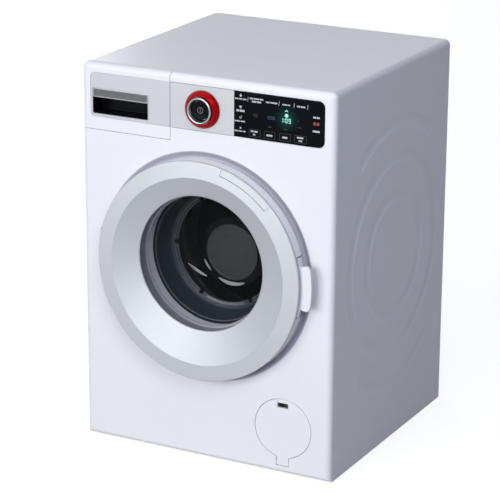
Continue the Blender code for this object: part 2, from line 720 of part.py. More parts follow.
def add_posts(body):
    """Columns for the rear cover's screws, the tub and the control board."""
    for number, (x, z) in enumerate(screw_columns()):
        start = at(x, CABINET_END - SCREW_COLUMN_LENGTH, z)
        column = rod(f"column_{number}", SCREW_COLUMN_RADIUS, start,
                     at(x, CABINET_END - REAR_LIP_HEIGHT, z), sides=8)
        add(body, column)
        cut(body, rod(f"column_bore_{number}", SCREW_SHANK_RADIUS + GAP,
                      at(x, CABINET_END - REAR_LIP_HEIGHT - SCREW_LENGTH, z),
                      at(x, CABINET_END, z), sides=8))
    for number, (x, z) in enumerate(tub_ear_places()):
        add(body, rod(f"tub_post_{number}", TUB_EAR_RADIUS, at(x, WALL - SINK, z),
                      at(x, SEAL_START + SEAL_WALL, z), sides=8))
    for number, (x, z) in enumerate(board_post_places()):
        add(body, rod(f"board_post_{number}", BOARD_POST_RADIUS, at(x, WALL - SINK, z),
                      at(x, BOARD_DEPTH - GAP, z), sides=8))


def cut_front(body):
    """Openings and recesses of the front panel."""
    seam = DRAWER_SEAM + HALF_GAP
    cut(body, block("drawer_notch", (-HALF_WIDTH - OVERRUN, seam), (-OVERRUN, WEB_FRONT),
                    (DRAWER_LOW - HALF_GAP, CABINET_HEIGHT + OVERRUN)))
    cut(body, block("chute_hole", (TRAY_LEFT - RUNNING_GAP, TRAY_RIGHT + RUNNING_GAP),
                    (0, WEB_BACK + OVERRUN), (TRAY_LOW - RUNNING_GAP, TRAY_HIGH + RUNNING_GAP)))
    cut(body, block("latch_slot", latch_slot_xs(), (DISH_DEPTH - OVERRUN, WALL + DISH_DEPTH + WALL),
                    (DOOR_Z - LATCH_SLOT_HALF_WIDTH, DOOR_Z + LATCH_SLOT_HALF_WIDTH)))
    band = rounded_box_outline((DRAWER_SEAM - OVERRUN, BAND_RIGHT + HALF_GAP),
                               (BAND_LOW - HALF_GAP, BAND_HIGH + HALF_GAP),
                               (0, BAND_CORNER, BAND_CORNER, 0))
    cut(body, flat_shape("band_pocket", band, (-OVERRUN, BAND_POCKET)))
    cut(body, rod("dial_hole", DIAL_STEM_RADIUS + RUNNING_GAP, at(DIAL_X, 0, DIAL_Z),
                  at(DIAL_X, WALL + OVERRUN, DIAL_Z), sides=16))
    cut(body, block("readout_hole", (READOUT_LEFT, READOUT_RIGHT), (0, WALL + OVERRUN),
                    (BAND_LOW + READOUT_MARGIN, BAND_HIGH - READOUT_MARGIN)))
    cut(body, flat_shape("flap_rebate", flap_outline(RUNNING_GAP), (-OVERRUN, FLAP_THICKNESS + GAP)))
    cut(body, rod("flap_pocket", FLAP_RADIUS - FLAP_LEDGE, at(FLAP_X, 0, FLAP_Z),
                  at(FLAP_X, FLAP_POCKET, FLAP_Z), sides=24))
    swing = FLAP_PIVOT_DEPTH + GAP
    cut(body, block("tab_slot", (FLAP_TAB_LEFT - GAP, FLAP_TAB_RIGHT + GAP),
                    (-OVERRUN, FLAP_PIVOT_DEPTH + swing),
                    (FLAP_PIVOT_Z - swing, FLAP_PIVOT_Z + swing)))
    reach = FLAP_TRUNNION_REACH + 2 * GAP
    cut(body, rod("flap_bore", FLAP_TRUNNION_RADIUS + GAP,
                  at(FLAP_TAB_LEFT - reach, FLAP_PIVOT_DEPTH, FLAP_PIVOT_Z),
                  at(FLAP_TAB_RIGHT + reach, FLAP_PIVOT_DEPTH, FLAP_PIVOT_Z), sides=8))


def latch_slot_xs():
    return (HANDLE_PIVOT_X - TONGUE_THICKNESS / 2 - LATCH_SLOT_INNER,
            HANDLE_PIVOT_X + TONGUE_THICKNESS / 2 + LATCH_SLOT_OUTER)


def ear_spans():
    """Heights that the two hinge ears cover, above and below the door's barrel."""
    near = HINGE_BARREL_HALF + GAP
    far = near + HINGE_EAR_THICKNESS
    return ((DOOR_Z + near, DOOR_Z + far), (DOOR_Z - far, DOOR_Z - near))


def add_hinge_ears(body):
    """Two ears on the dish floor that hold the door's hinge pin."""
    for number, span in enumerate(ear_spans()):
        half = HINGE_EAR_RADIUS - HALF_GAP
        add(body, block(f"ear_foot_{number}", (HINGE_X - half, HINGE_X + half),
                        (-HINGE_HEIGHT, DISH_DEPTH + SINK), (span[0] + HALF_GAP, span[1] - HALF_GAP)))
        add(body, rod(f"ear_eye_{number}", HINGE_EAR_RADIUS, at(HINGE_X, -HINGE_HEIGHT, span[0]),
                      at(HINGE_X, -HINGE_HEIGHT, span[1]), sides=12))
    cut(body, rod("ear_bore", HINGE_PIN_RADIUS + GAP,
                  at(HINGE_X, -HINGE_HEIGHT, ear_spans()[1][0] - OVERRUN),
                  at(HINGE_X, -HINGE_HEIGHT, ear_spans()[0][1] + OVERRUN), sides=8))


def rear_cover():
    """Flush rear cover with a lip inside the cabinet, grille, battery opening and screws."""
    outline = rounded_box_outline((-HALF_WIDTH, HALF_WIDTH), (FOOT_PROUD, CABINET_HEIGHT),
                                  (0, 0, EDGE_RADIUS, EDGE_RADIUS), EDGE_SEGMENTS)
    cover = flat_shape("rear_cover", outline, (COVER_FRONT, COVER_BACK), WHITE)
    lip_out = INNER_HALF - GAP
    lip_in = lip_out - REAR_LIP_WIDTH
    lip_low = FOOT_PROUD + BASE_THICKNESS + BASE_RIB_HEIGHT + GAP
    lip = block("rear_lip", (-lip_out, lip_out),
                (COVER_FRONT - REAR_LIP_HEIGHT + GAP, COVER_FRONT + SINK), (lip_low, INNER_TOP - GAP))
    cut(lip, block("rear_lip_core", (-lip_in, lip_in), (0, COVER_FRONT),
                   (lip_low + REAR_LIP_WIDTH, INNER_TOP - GAP - REAR_LIP_WIDTH)))
    add(cover, lip)
    xs, zs = battery_opening()
    cut(cover, block("battery_opening", xs, (0, COVER_BACK + OVERRUN), zs))
    for number in range(SPEAKER_SLOTS):
        offset = (number - (SPEAKER_SLOTS - 1) / 2) * SPEAKER_SLOT_PITCH
        half = math.sqrt((SPEAKER_RADIUS - WALL) ** 2 - offset ** 2)
        z = SPEAKER_Z + offset
        cut(cover, block(f"speaker_slot_{number}", (SPEAKER_X - half, SPEAKER_X + half),
                         (COVER_FRONT - OVERRUN, COVER_BACK + OVERRUN),
                         (z - SPEAKER_SLOT_WIDTH / 2, z + SPEAKER_SLOT_WIDTH / 2)))
    collar = SPEAKER_RADIUS + GAP
    add(cover, turned("speaker_collar", [(collar, COVER_FRONT - REAR_LIP_HEIGHT),
                                         (collar + SPEAKER_COLLAR_WALL, COVER_FRONT - REAR_LIP_HEIGHT),
                                         (collar + SPEAKER_COLLAR_WALL, COVER_FRONT + SINK),
                                         (collar, COVER_FRONT + SINK)],
                      SPEAKER_X, SPEAKER_Z, steps=24))
    for number, (x, z) in enumerate(screw_columns()):
        cut(cover, rod(f"rear_hole_{number}", SCREW_SHANK_RADIUS + GAP,
                       at(x, COVER_FRONT - REAR_LIP_HEIGHT, z), at(x, COVER_BACK + OVERRUN, z), sides=8))
        cut(cover, rod(f"rear_countersink_{number}", SCREW_HEAD_RADIUS + GAP,
                       at(x, COVER_BACK - SCREW_HEAD_HEIGHT, z), at(x, COVER_BACK + OVERRUN, z), sides=8))
    return cover


def battery_opening():
    """The rear cover's rectangular hole, as x and z spans."""
    half = CELL_COLUMNS * (CELL_LENGTH + CELL_TIP + CELL_END_ROOM) / 2
    high = BATTERY_BOX_LOW + CELL_ROWS * (2 * CELL_RADIUS + CELL_GAP) + CELL_GAP
    return (-half, half), (BATTERY_BOX_LOW, high)


def base_plate():
    """Floor of the cabinet, with a rib frame and four foot recesses."""
    half = INNER_HALF - GAP
    low = FOOT_PROUD
    front = WALL + GAP
    back = CABINET_END
    plate = block("base_plate", (-half, half), (front, back), (low, low + BASE_THICKNESS), WHITE)
    rib_top = low + BASE_THICKNESS + BASE_RIB_HEIGHT
    frame = block("base_frame", (-half, half), (front, back), (low, rib_top))
    inner = half - BASE_RIB_WIDTH
    cut(frame, block("base_frame_core", (-inner, inner), (front + BASE_RIB_WIDTH, back - BASE_RIB_WIDTH),
                     (0, rib_top + OVERRUN)))
    add(plate, frame)
    cut(plate, block("base_front_relief", (FLAP_X - FLAP_RADIUS - WALL, FLAP_X + FLAP_RADIUS + WALL),
                     (0, FLAP_POCKET + 2 * WALL), (low + BASE_THICKNESS, rib_top + OVERRUN)))
    cut(plate, block("base_bearing_relief", (FLAP_TAB_LEFT - 2 * WALL - FLAP_TRUNNION_REACH,
                                             FLAP_TAB_RIGHT + 2 * WALL + FLAP_TRUNNION_REACH),
                     (0, 2 * FLAP_PIVOT_DEPTH + WALL + GAP), (low + BASE_THICKNESS, rib_top + OVERRUN)))
    for number, (x, depth) in enumerate(foot_places()):
        cut(plate, rod(f"foot_recess_{number}", FOOT_RADIUS + GAP, at(x, depth, 0),
                       at(x, depth, low + FOOT_RECESS), sides=16))
    return plate


def foot_places():
    x = HALF_WIDTH - FOOT_INSET
    return [(side * x, depth) for side in (-1, 1) for depth in (FOOT_INSET, CABINET_DEPTH - FOOT_INSET)]


def feet():
    """Four rubber pads, pressed into their recesses."""
    return [rod(f"foot_{number + 1}", FOOT_RADIUS, at(x, depth, 0),
                at(x, depth, FOOT_PROUD + FOOT_RECESS - GAP), RUBBER, sides=16)
            for number, (x, depth) in enumerate(foot_places())]


def fascia():
    """Brushed foil plate around the dial, with the dial's hole."""
    right = DISPLAY_LEFT - HALF_GAP
    plate = block("control_fascia", (DRAWER_SEAM + HALF_GAP, right),
                  (BAND_POCKET - GAP - FASCIA_THICKNESS, BAND_POCKET - GAP),
                  (BAND_LOW + HALF_GAP, BAND_HIGH - HALF_GAP), BRUSHED)
    return cut(plate, rod("fascia_hole", DIAL_STEM_RADIUS + RUNNING_GAP, at(DIAL_X, -OVERRUN, DIAL_Z),
                          at(DIAL_X, WALL, DIAL_Z), sides=16))


def display_window():
    """Black glossy window over the readout, with rounded right corners."""
    outline = rounded_box_outline((DISPLAY_LEFT + HALF_GAP, BAND_RIGHT - HALF_GAP),
                                  (BAND_LOW + HALF_GAP, BAND_HIGH - HALF_GAP),
                                  (0, BAND_CORNER, BAND_CORNER, 0))
    back = BAND_POCKET - GAP
    return flat_shape("display_window", outline, (back - DISPLAY_THICKNESS, back), BLACK_GLOSS)


def readout():
    """Light block behind the display window, on the control board."""
    return block("display_module", (READOUT_LEFT + GAP, READOUT_RIGHT - GAP),
                 (BAND_POCKET + GAP, BOARD_DEPTH - GAP),
                 (BAND_LOW + READOUT_MARGIN + GAP, BAND_HIGH - READOUT_MARGIN - GAP), CHARCOAL)


def dial_ring():
    """Fixed red light ring, flared out to the fascia."""
    top = -DIAL_RING_HEIGHT
    flare = DIAL_RING_RADIUS - (DIAL_RING_RADIUS - DIAL_RING_WAIST) / 4
    middle = top * 2 / 3
    profile = [(DIAL_RING_BORE, top), (DIAL_RING_WAIST, top), (flare - GAP, middle),
               (DIAL_RING_RADIUS, top / 4), (DIAL_RING_RADIUS, -GAP), (DIAL_RING_BORE, -GAP)]
    return turned("dial_ring", profile, DIAL_X, DIAL_Z, RED, steps=28)


def programme_dial():
    """Chromed dial cup with a stem through the panel."""
    top = -DIAL_HEIGHT
    floor = -DIAL_LIFT - DIAL_FLOOR
    inner = DIAL_RADIUS - DIAL_WALL
    lip = DIAL_WALL / 3
    profile = [(DIAL_STEM_BORE, floor), (inner, floor), (inner, top + lip), (inner + lip, top),
               (DIAL_RADIUS - lip, top), (DIAL_RADIUS, top + lip), (DIAL_RADIUS, -DIAL_LIFT),
               (DIAL_STEM_RADIUS, -DIAL_LIFT), (DIAL_STEM_RADIUS, DIAL_STEM_END),
               (DIAL_STEM_BORE, DIAL_STEM_END)]
    return turned("programme_dial", profile, DIAL_X, DIAL_Z, CHROME, steps=20)


def start_button():
    """Black push cap in the middle of the dial, on a stem to its switch."""
    top = -CAP_REST
    radius = DIAL_RADIUS - DIAL_WALL - GAP
    dome = CAP_HEIGHT / 3
    profile = [(0, top), (radius - dome, top), (radius, top + dome), (radius, top + CAP_HEIGHT),
               (CAP_STEM_RADIUS, top + CAP_HEIGHT), (CAP_STEM_RADIUS, CAP_STEM_END), (0, CAP_STEM_END)]
    return turned("start_button", profile, DIAL_X, DIAL_Z, BLACK, steps=20, ring=False)


def dial_switch():
    """Rotary and push switch on the board behind the dial."""
    half = SWITCH_SIZE / 2
    body = block("dial_switch", (DIAL_X - half, DIAL_X + half),
                 (BOARD_DEPTH - GAP - SWITCH_DEPTH, BOARD_DEPTH - GAP),
                 (DIAL_Z - half, DIAL_Z + half), CHARCOAL)
    return cut(body, rod("switch_well", DIAL_STEM_RADIUS + RUNNING_GAP,
                         at(DIAL_X, 0, DIAL_Z), at(DIAL_X, BOARD_DEPTH - SWITCH_DEPTH / 4, DIAL_Z)))


def control_board():
    """Circuit board on four posts."""
    board = block("control_board", (BOARD_LEFT, BOARD_RIGHT),
                  (BOARD_DEPTH, BOARD_DEPTH + BOARD_THICKNESS), (BOARD_LOW, BOARD_HIGH), BOARD_GREEN)
    width = BOARD_RIGHT - BOARD_LEFT
    height = BOARD_HIGH - BOARD_LOW
    back = BOARD_DEPTH + BOARD_THICKNESS
    for number, (x, z, w, h) in enumerate(CHIP_SHARES):
        left = BOARD_LEFT + x * width
        low = BOARD_LOW + z * height
        add(board, block(f"chip_{number}", (left, left + w * width), (back - SINK, back + CHIP_HEIGHT),
                         (low, low + h * height)))
    return board


def drawer_front():
    """Corner of the front panel that pulls out with the tray."""
    front = cabinet_form("drawer_front", WHITE)
    right = DRAWER_SEAM - HALF_GAP
    low = DRAWER_LOW + HALF_GAP
    keep = block("drawer_keep", (-HALF_WIDTH - OVERRUN, right), (-OVERRUN, DRAWER_FRONT_DEPTH),
                 (low, CABINET_HEIGHT + OVERRUN))
    combine(front, [keep], "INTERSECT")
    skin = DRAWER_FRONT_SKIN
    cut(front, block("drawer_hollow", (-HALF_WIDTH + skin, right - skin),
                     (skin, DRAWER_FRONT_DEPTH + OVERRUN), (low + skin, CABINET_HEIGHT - skin)))
    label = label_outline(GAP)
    cut(front, flat_shape("label_recess", label, (-OVERRUN, LABEL_THICKNESS + GAP)))
    cut(front, block("grip_hole", (GRIP_LEFT - GRIP_WALL - GAP, GRIP_RIGHT + GRIP_WALL + GAP),
                     (-OVERRUN, DRAWER_FRONT_DEPTH + OVERRUN),
                     (GRIP_LOW - GRIP_WALL - GAP, GRIP_HIGH + GRIP_WALL + GAP)))
    return front


def label_outline(grow):
    return rounded_box_outline((BAND_LEFT - grow + HALF_GAP, DRAWER_SEAM - HALF_GAP + 2 * grow),
                               (BAND_LOW + HALF_GAP - grow, BAND_HIGH - HALF_GAP + grow),
                               (BAND_CORNER, 0, 0, BAND_CORNER))


def drawer_label():
    """Brushed foil on the drawer front."""
    outline = rounded_box_outline((BAND_LEFT + HALF_GAP, DRAWER_SEAM - HALF_GAP),
                                  (BAND_LOW + HALF_GAP, BAND_HIGH - HALF_GAP),
                                  (BAND_CORNER, 0, 0, BAND_CORNER))
    label = flat_shape("drawer_label", outline, (0, LABEL_THICKNESS), BRUSHED)
    return cut(label, block("label_hole", (GRIP_LEFT - GRIP_WALL - GAP, GRIP_RIGHT + GRIP_WALL + GAP),
                            (-OVERRUN, WALL),
                            (GRIP_LOW - GRIP_WALL - GAP, GRIP_HIGH + GRIP_WALL + GAP)))


def grip_cup():
    """Black finger recess behind the drawer front."""
    outer = rounded_box_outline((GRIP_LEFT - GRIP_WALL, GRIP_RIGHT + GRIP_WALL),
                                (GRIP_LOW - GRIP_WALL, GRIP_HIGH + GRIP_WALL), (GRIP_CORNER,) * 4, 2)
    cup = flat_shape("grip_cup", outer, (TRIM_PROUD, GRIP_DEPTH + GRIP_WALL), BLACK)
    inner = rounded_box_outline((GRIP_LEFT, GRIP_RIGHT), (GRIP_LOW, GRIP_HIGH), (GRIP_CORNER,) * 4, 2)
    return cut(cup, flat_shape("grip_hollow", inner, (-OVERRUN, GRIP_DEPTH)))


def grip_trim():
    """Chromed frame of the recess, with a broad bar across its top."""
    out = GRIP_WALL
    frame = flat_shape("grip_trim", rounded_box_outline(
        (GRIP_LEFT - out, GRIP_RIGHT + out), (GRIP_LOW - out, GRIP_HIGH + out),
        (GRIP_CORNER,) * 4, 2), (-TRIM_PROUD, TRIM_PROUD - GAP), CHROME)
    inner = rounded_box_outline((GRIP_LEFT, GRIP_RIGHT), (GRIP_LOW, GRIP_HIGH), (GRIP_CORNER,) * 4, 2)
    cut(frame, flat_shape("trim_hollow", inner, (-OVERRUN, WALL)))
    bar = block("trim_bar", (GRIP_LEFT - GRIP_WALL / 2, GRIP_RIGHT + GRIP_WALL / 2),
                (-TRIM_PROUD / 2, TRIM_PROUD - GAP),
                (GRIP_HIGH - TRIM_STRIP_HEIGHT, GRIP_HIGH + GRIP_WALL / 2))
    return add(frame, bar)


def drawer_tray():
    """Open tray with three compartments behind the drawer front."""
    start = DRAWER_FRONT_DEPTH + GAP
    end = start + TRAY_LENGTH
    wall_at = GRIP_DEPTH + GRIP_WALL + GAP
    tray = block("drawer_tray", (TRAY_LEFT, TRAY_RIGHT), (start, end), (TRAY_LOW, TRAY_HIGH), WHITE)
    cut(tray, block("tray_cup_room", (TRAY_LEFT - OVERRUN, TRAY_RIGHT - TRAY_WALL),
                    (start - OVERRUN, wall_at), (TRAY_LOW + TRAY_WALL, TRAY_HIGH + OVERRUN)))
    inside = TRAY_RIGHT - TRAY_LEFT - 2 * TRAY_WALL
    edges = [0, *TRAY_DIVIDERS_AT_SHARES, 1]
    for number, (a, b) in enumerate(zip(edges, edges[1:])):
        left = TRAY_LEFT + TRAY_WALL + a * inside + (TRAY_WALL / 2 if a > 0 else 0)
        right = TRAY_LEFT + TRAY_WALL + b * inside - (TRAY_WALL / 2 if b < 1 else 0)
        well = block(f"tray_well_{number}", (left, right), (wall_at + TRAY_WALL, end - TRAY_WALL),
                     (TRAY_LOW + TRAY_WALL, TRAY_HIGH + OVERRUN))
        cut(tray, well)
    return tray


def drawer_chute():
    """Sleeve behind the front panel that the tray runs in."""
    run = RUNNING_GAP
    xs = (TRAY_LEFT - run, TRAY_RIGHT + run)
    zs = (TRAY_LOW - run, TRAY_HIGH + run)
    back = DRAWER_FRONT_DEPTH + GAP + TRAY_LENGTH + RUNNING_GAP
    wall = CHUTE_WALL
    sleeve = block("drawer_chute", (xs[0] - wall, xs[1] + wall), (WEB_BACK + GAP, back + wall),
                   (zs[0] - wall, zs[1] + wall), CHARCOAL)
    return cut(sleeve, block("chute_hollow", xs, (0, back), zs))


def blend_rise(obj):
    """Raises the inner edge of a door ring, so that the window sits above the door's centre."""
    mesh = obj.data
    for vertex in mesh.vertices:
        radius = math.hypot(vertex.co.x, vertex.co.y)
        share = (DOOR_RIDGE_RADIUS - radius) / (DOOR_RIDGE_RADIUS - DOOR_BLEND_RADIUS)
        vertex.co.y += WINDOW_RISE * min(1, max(0, share))
    return obj


def door_ring():
    """Satin silver face of the door, with its throat around the window."""
    mat = SILVER
    top = -DOOR_EDGE_HEIGHT
    ridge = -DOOR_PROJECTION
    mouth = -DOOR_WINDOW_HEIGHT
    skin = DOOR_SKIN
    throat = DOOR_WINDOW_RADIUS + DOOR_THROAT_FLARE
    outer_throat = throat + DOOR_THROAT_WALL
    lip = DOOR_EDGE_HEIGHT / 20
    profile = [(DOOR_WINDOW_RADIUS + lip, mouth - lip / 2), (DOOR_RIDGE_RADIUS, ridge),
               (DOOR_RADIUS - lip, top - lip), (DOOR_RADIUS, top), (DOOR_RADIUS, top + skin),
               (DOOR_RIDGE_RADIUS, ridge + skin + lip), (outer_throat, mouth + skin),
               (outer_throat, DOOR_THROAT_END), (DOOR_WINDOW_RADIUS - PANE_SEAT, DOOR_THROAT_END),
               (DOOR_WINDOW_RADIUS - PANE_SEAT, DOOR_THROAT_END - PANE_SEAT / 2),
               (throat, DOOR_THROAT_END - PANE_SEAT / 2), (DOOR_WINDOW_RADIUS, mouth)]
    return blend_rise(as_mesh(turned("door_ring", profile, 0, DOOR_Z, steps=DOOR_STEPS), mat))


def door_frame():
    """White back half of the door: rim, back plate, hinge barrel and handle opening."""
    top = DOOR_SKIN - DOOR_EDGE_HEIGHT + GAP
    back = -DOOR_BACK_HEIGHT
    bore = DOOR_WINDOW_RADIUS + DOOR_THROAT_FLARE + DOOR_THROAT_WALL + GAP
    chamfer = DOOR_WALL / 4
    profile = [(DOOR_RADIUS - DOOR_WALL, top), (DOOR_RADIUS, top), (DOOR_RADIUS, back - chamfer),
               (DOOR_RADIUS - chamfer, back), (bore, back), (bore, back - DOOR_WALL),
               (DOOR_RADIUS - DOOR_WALL, back - DOOR_WALL)]
    frame = blend_rise(as_mesh(turned("door_frame", profile, 0, DOOR_Z, steps=DOOR_STEPS), WHITE))
    add(frame, rod("hinge_barrel", HINGE_BARREL_RADIUS,
                   at(HINGE_X, -HINGE_HEIGHT, DOOR_Z - HINGE_BARREL_HALF),
                   at(HINGE_X, -HINGE_HEIGHT, DOOR_Z + HINGE_BARREL_HALF), sides=20))
    room = HINGE_EAR_RADIUS + RUNNING_GAP
    for number, span in enumerate(ear_spans()):
        cut(frame, block(f"ear_room_{number}", (HINGE_X - 2 * room, HINGE_X + room),
                         (-HINGE_HEIGHT - room, OVERRUN), (span[0] - GAP, span[1] + GAP)))
    cut(frame, rod("barrel_bore", HINGE_PIN_RADIUS + GAP, at(HINGE_X, -HINGE_HEIGHT, ear_spans()[1][0]),
                   at(HINGE_X, -HINGE_HEIGHT, ear_spans()[0][1]), sides=12))
    bearing = HANDLE_PIN_HALF + GAP
    half = DOOR_RADIUS * math.sin(HANDLE_HALF_ANGLE) + RUNNING_GAP
    for side in (-1, 1):
        near = DOOR_Z + side * half
        far = DOOR_Z + side * (bearing + DOOR_WALL)
        inner = HANDLE_PIVOT_X - DOOR_WALL
        add(frame, block(f"handle_bearing_{side}", (inner, HANDLE_PIVOT_X + DOOR_WALL / 2),
                         (-HANDLE_PIVOT_HEIGHT - DOOR_WALL, back - SINK), sorted((near, far))))
    cut(frame, block("handle_opening", (HANDLE_INNER_RADIUS * math.cos(HANDLE_HALF_ANGLE) - RUNNING_GAP,
                                        DOOR_RADIUS + OVERRUN), (-DOOR_EDGE_HEIGHT, OVERRUN),
                     (DOOR_Z - half, DOOR_Z + half)))
    cut(frame, rod("handle_pin_bore", HANDLE_PIN_RADIUS + GAP,
                   at(HANDLE_PIVOT_X, -HANDLE_PIVOT_HEIGHT, DOOR_Z - bearing),
                   at(HANDLE_PIVOT_X, -HANDLE_PIVOT_HEIGHT, DOOR_Z + bearing), sides=10))
    return frame


def door_window():
    """Clear pane, dished towards the drum and held by the ring's seat."""
    back = DOOR_THROAT_END - PANE_SEAT / 2 - GAP
    front = back - PANE_THICKNESS
    radius = DOOR_WINDOW_RADIUS - GAP
    rings = 2
    face = [(radius * i / rings, front - PANE_BULGE * (1 - (i / rings) ** 2)) for i in range(rings + 1)]
    rear = [(r, depth + PANE_THICKNESS) for r, depth in reversed(face)]
    return turned("door_window", face + rear, 0, MOUTH_Z, CLEAR, steps=32, ring=False)


def handle_outline():
    """Front view of the handle: an arc that follows the door, with a deeper grip in the middle."""
    half = HANDLE_HALF_ANGLE
    grip = HANDLE_GRIP_HALF_ANGLE
    edge = DOOR_RADIUS + GAP
    outline = arc(edge, -half, -grip, 2)
    outline.append((HANDLE_END_REACH * math.cos(grip), -HANDLE_END_REACH * math.sin(grip)))
    outline += arc(HANDLE_REACH, -grip / 2, grip / 2, 4)
    outline.append((HANDLE_END_REACH * math.cos(grip), HANDLE_END_REACH * math.sin(grip)))
    outline += arc(edge, grip, half, 2)
    outline += arc(HANDLE_INNER_RADIUS, half, -half, 8)
    return outline


def door_handle():
    """Pull lever in the door's rim, with a tongue that reaches the catch."""
    top = -HANDLE_TOP
    lever = flat_shape("door_handle", handle_outline(), (top, top + HANDLE_GRIP_THICKNESS), WHITE,
                       (0, DOOR_Z))
    half = HANDLE_HALF_ANGLE
    inset = half - GAP / DOOR_RADIUS
    body = arc(DOOR_RADIUS - GAP, -inset, inset, 8) + arc(HANDLE_INNER_RADIUS + GAP, inset, -inset, 8)
    add(lever, flat_shape("handle_body", body, (top + HANDLE_GRIP_THICKNESS - SINK, -HANDLE_BACK),
                          centre=(0, DOOR_Z)))
    thick = TONGUE_THICKNESS / 2
    tongue = block("tongue", (HANDLE_PIVOT_X - thick, HANDLE_PIVOT_X + thick),
                   (-HANDLE_BACK - SINK, TONGUE_END),
                   (DOOR_Z - TONGUE_HALF_WIDTH, DOOR_Z + TONGUE_HALF_WIDTH))
    add(lever, tongue)
    span = DOOR_RADIUS * math.sin(half) + OVERRUN
    cut(lever, rod("handle_bore", HANDLE_PIN_RADIUS + GAP,
                   at(HANDLE_PIVOT_X, -HANDLE_PIVOT_HEIGHT, DOOR_Z - span),
                   at(HANDLE_PIVOT_X, -HANDLE_PIVOT_HEIGHT, DOOR_Z + span), sides=10))
    return lever


def hinge_pin():
    low = ear_spans()[1][0]
    high = ear_spans()[0][1]
    return rod("hinge_pin", HINGE_PIN_RADIUS, at(HINGE_X, -HINGE_HEIGHT, low),
               at(HINGE_X, -HINGE_HEIGHT, high), STEEL, sides=12)


def handle_pin():
    return rod("handle_pin", HANDLE_PIN_RADIUS,
               at(HANDLE_PIVOT_X, -HANDLE_PIVOT_HEIGHT, DOOR_Z - HANDLE_PIN_HALF),
               at(HANDLE_PIVOT_X, -HANDLE_PIVOT_HEIGHT, DOOR_Z + HANDLE_PIN_HALF), STEEL, sides=10)


def door_catch():
    """Guide box behind the latch slot."""
    xs = latch_slot_xs()
    wall = CATCH_WALL
    start = DISH_DEPTH + DISH_WALL + GAP
    half = LATCH_SLOT_HALF_WIDTH
    box = block("door_catch", (xs[0] - wall, xs[1] + wall), (start, start + CATCH_DEPTH + wall),
                (DOOR_Z - half - wall, DOOR_Z + half + wall), CHARCOAL)
    return cut(box, block("catch_hollow", xs, (0, start + CATCH_DEPTH), (DOOR_Z - half, DOOR_Z + half)))


def service_flap():
    """Round flap at the lower right, hinged at the tab under it."""
    flap = flat_shape("service_flap", flap_outline(0), (0, FLAP_THICKNESS), WHITE)
    add(flap, rod("flap_barrel", FLAP_PIVOT_DEPTH, at(FLAP_TAB_LEFT, FLAP_PIVOT_DEPTH, FLAP_PIVOT_Z),
                  at(FLAP_TAB_RIGHT, FLAP_PIVOT_DEPTH, FLAP_PIVOT_Z), sides=16))
    add(flap, rod("trunnions", FLAP_TRUNNION_RADIUS,
                  at(FLAP_TAB_LEFT - FLAP_TRUNNION_REACH, FLAP_PIVOT_DEPTH, FLAP_PIVOT_Z),
                  at(FLAP_TAB_RIGHT + FLAP_TRUNNION_REACH, FLAP_PIVOT_DEPTH, FLAP_PIVOT_Z), sides=10))
    cut(flap, block("finger_notch", (FLAP_TAB_LEFT, FLAP_TAB_RIGHT), (-OVERRUN, WALL),
                    (FLAP_NOTCH_LOW, FLAP_NOTCH_HIGH)))
    return flap


def door_seal():
    """Dark funnel between the front panel and the drum, with notches in its inner lip."""
    wall = SEAL_WALL
    flange_back = SEAL_START + wall
    profile = [(SEAL_MOUTH_RADIUS, SEAL_START), (SEAL_FLANGE_RADIUS, SEAL_START),
               (SEAL_FLANGE_RADIUS, flange_back), (SEAL_MOUTH_RADIUS + wall, flange_back),
               (SEAL_THROAT_RADIUS + SEAL_LIP + wall, SEAL_END - SEAL_LIP),
               (SEAL_THROAT_RADIUS + wall, SEAL_END), (SEAL_THROAT_RADIUS, SEAL_END),
               (SEAL_THROAT_RADIUS, SEAL_END - SEAL_LIP),
               (SEAL_THROAT_RADIUS + SEAL_LIP, SEAL_END - 2 * SEAL_LIP)]
    seal = turned("door_seal", profile, 0, MOUTH_Z, SEAL_GREY, steps=SEAL_STEPS)
    for number in range(SEAL_NOTCHES):
        angle = TURN * (number + 1 / 2) / SEAL_NOTCHES
        centre = at(math.cos(angle) * SEAL_THROAT_RADIUS, SEAL_END,
                    MOUTH_Z + math.sin(angle) * SEAL_THROAT_RADIUS)
        cut(seal, rod(f"seal_notch_{number}", SEAL_NOTCH_WIDTH / 2,
                      centre - Vector((0, SEAL_LIP, 0)), centre + Vector((0, OVERRUN, 0)), sides=8))
    return seal


def tub():
    """Fixed drum casing, open in front around the seal and closed behind by the bush boss."""
    front = SEAL_START + SEAL_WALL + GAP
    wall = TUB_WALL
    boss = BUSH_RADIUS + GAP + BUSH_BOSS_WALL
    bore = BUSH_RADIUS + GAP
    boss_front = TUB_END - 2 * BUSH_BOSS_WALL
    profile = [(TUB_MOUTH_RADIUS, front), (TUB_RADIUS, front), (TUB_RADIUS, TUB_END),
               (bore, TUB_END), (bore, boss_front), (boss, boss_front), (boss, TUB_END - wall),
               (TUB_RADIUS - wall, TUB_END - wall), (TUB_RADIUS - wall, front + wall),
               (TUB_MOUTH_RADIUS, front + wall)]
    casing = turned("tub", profile, 0, DOOR_Z, CHARCOAL, steps=TUB_STEPS)
    as_solid = as_mesh(casing, CHARCOAL)
    for number, angle in enumerate(TUB_EAR_ANGLES):
        add(as_solid, flat_shape(f"tub_ear_{number}", tub_ear_outline(angle),
                                 (front, front + TUB_EAR_THICKNESS), centre=(0, DOOR_Z)))
    for number, (x, z) in enumerate(tub_ear_places()):
        cut(as_solid, rod(f"tub_ear_hole_{number}", SCREW_SHANK_RADIUS + GAP, at(x, front - OVERRUN, z),
                          at(x, front + TUB_EAR_THICKNESS + OVERRUN, z), sides=6))
    cut(as_solid, rod("tub_mouth", SEAL_MOUTH_RADIUS + SEAL_WALL + 2 * RUNNING_GAP, at(0, 0, MOUTH_Z),
                      at(0, front + wall + OVERRUN, MOUTH_Z), sides=TUB_STEPS))
    return as_solid


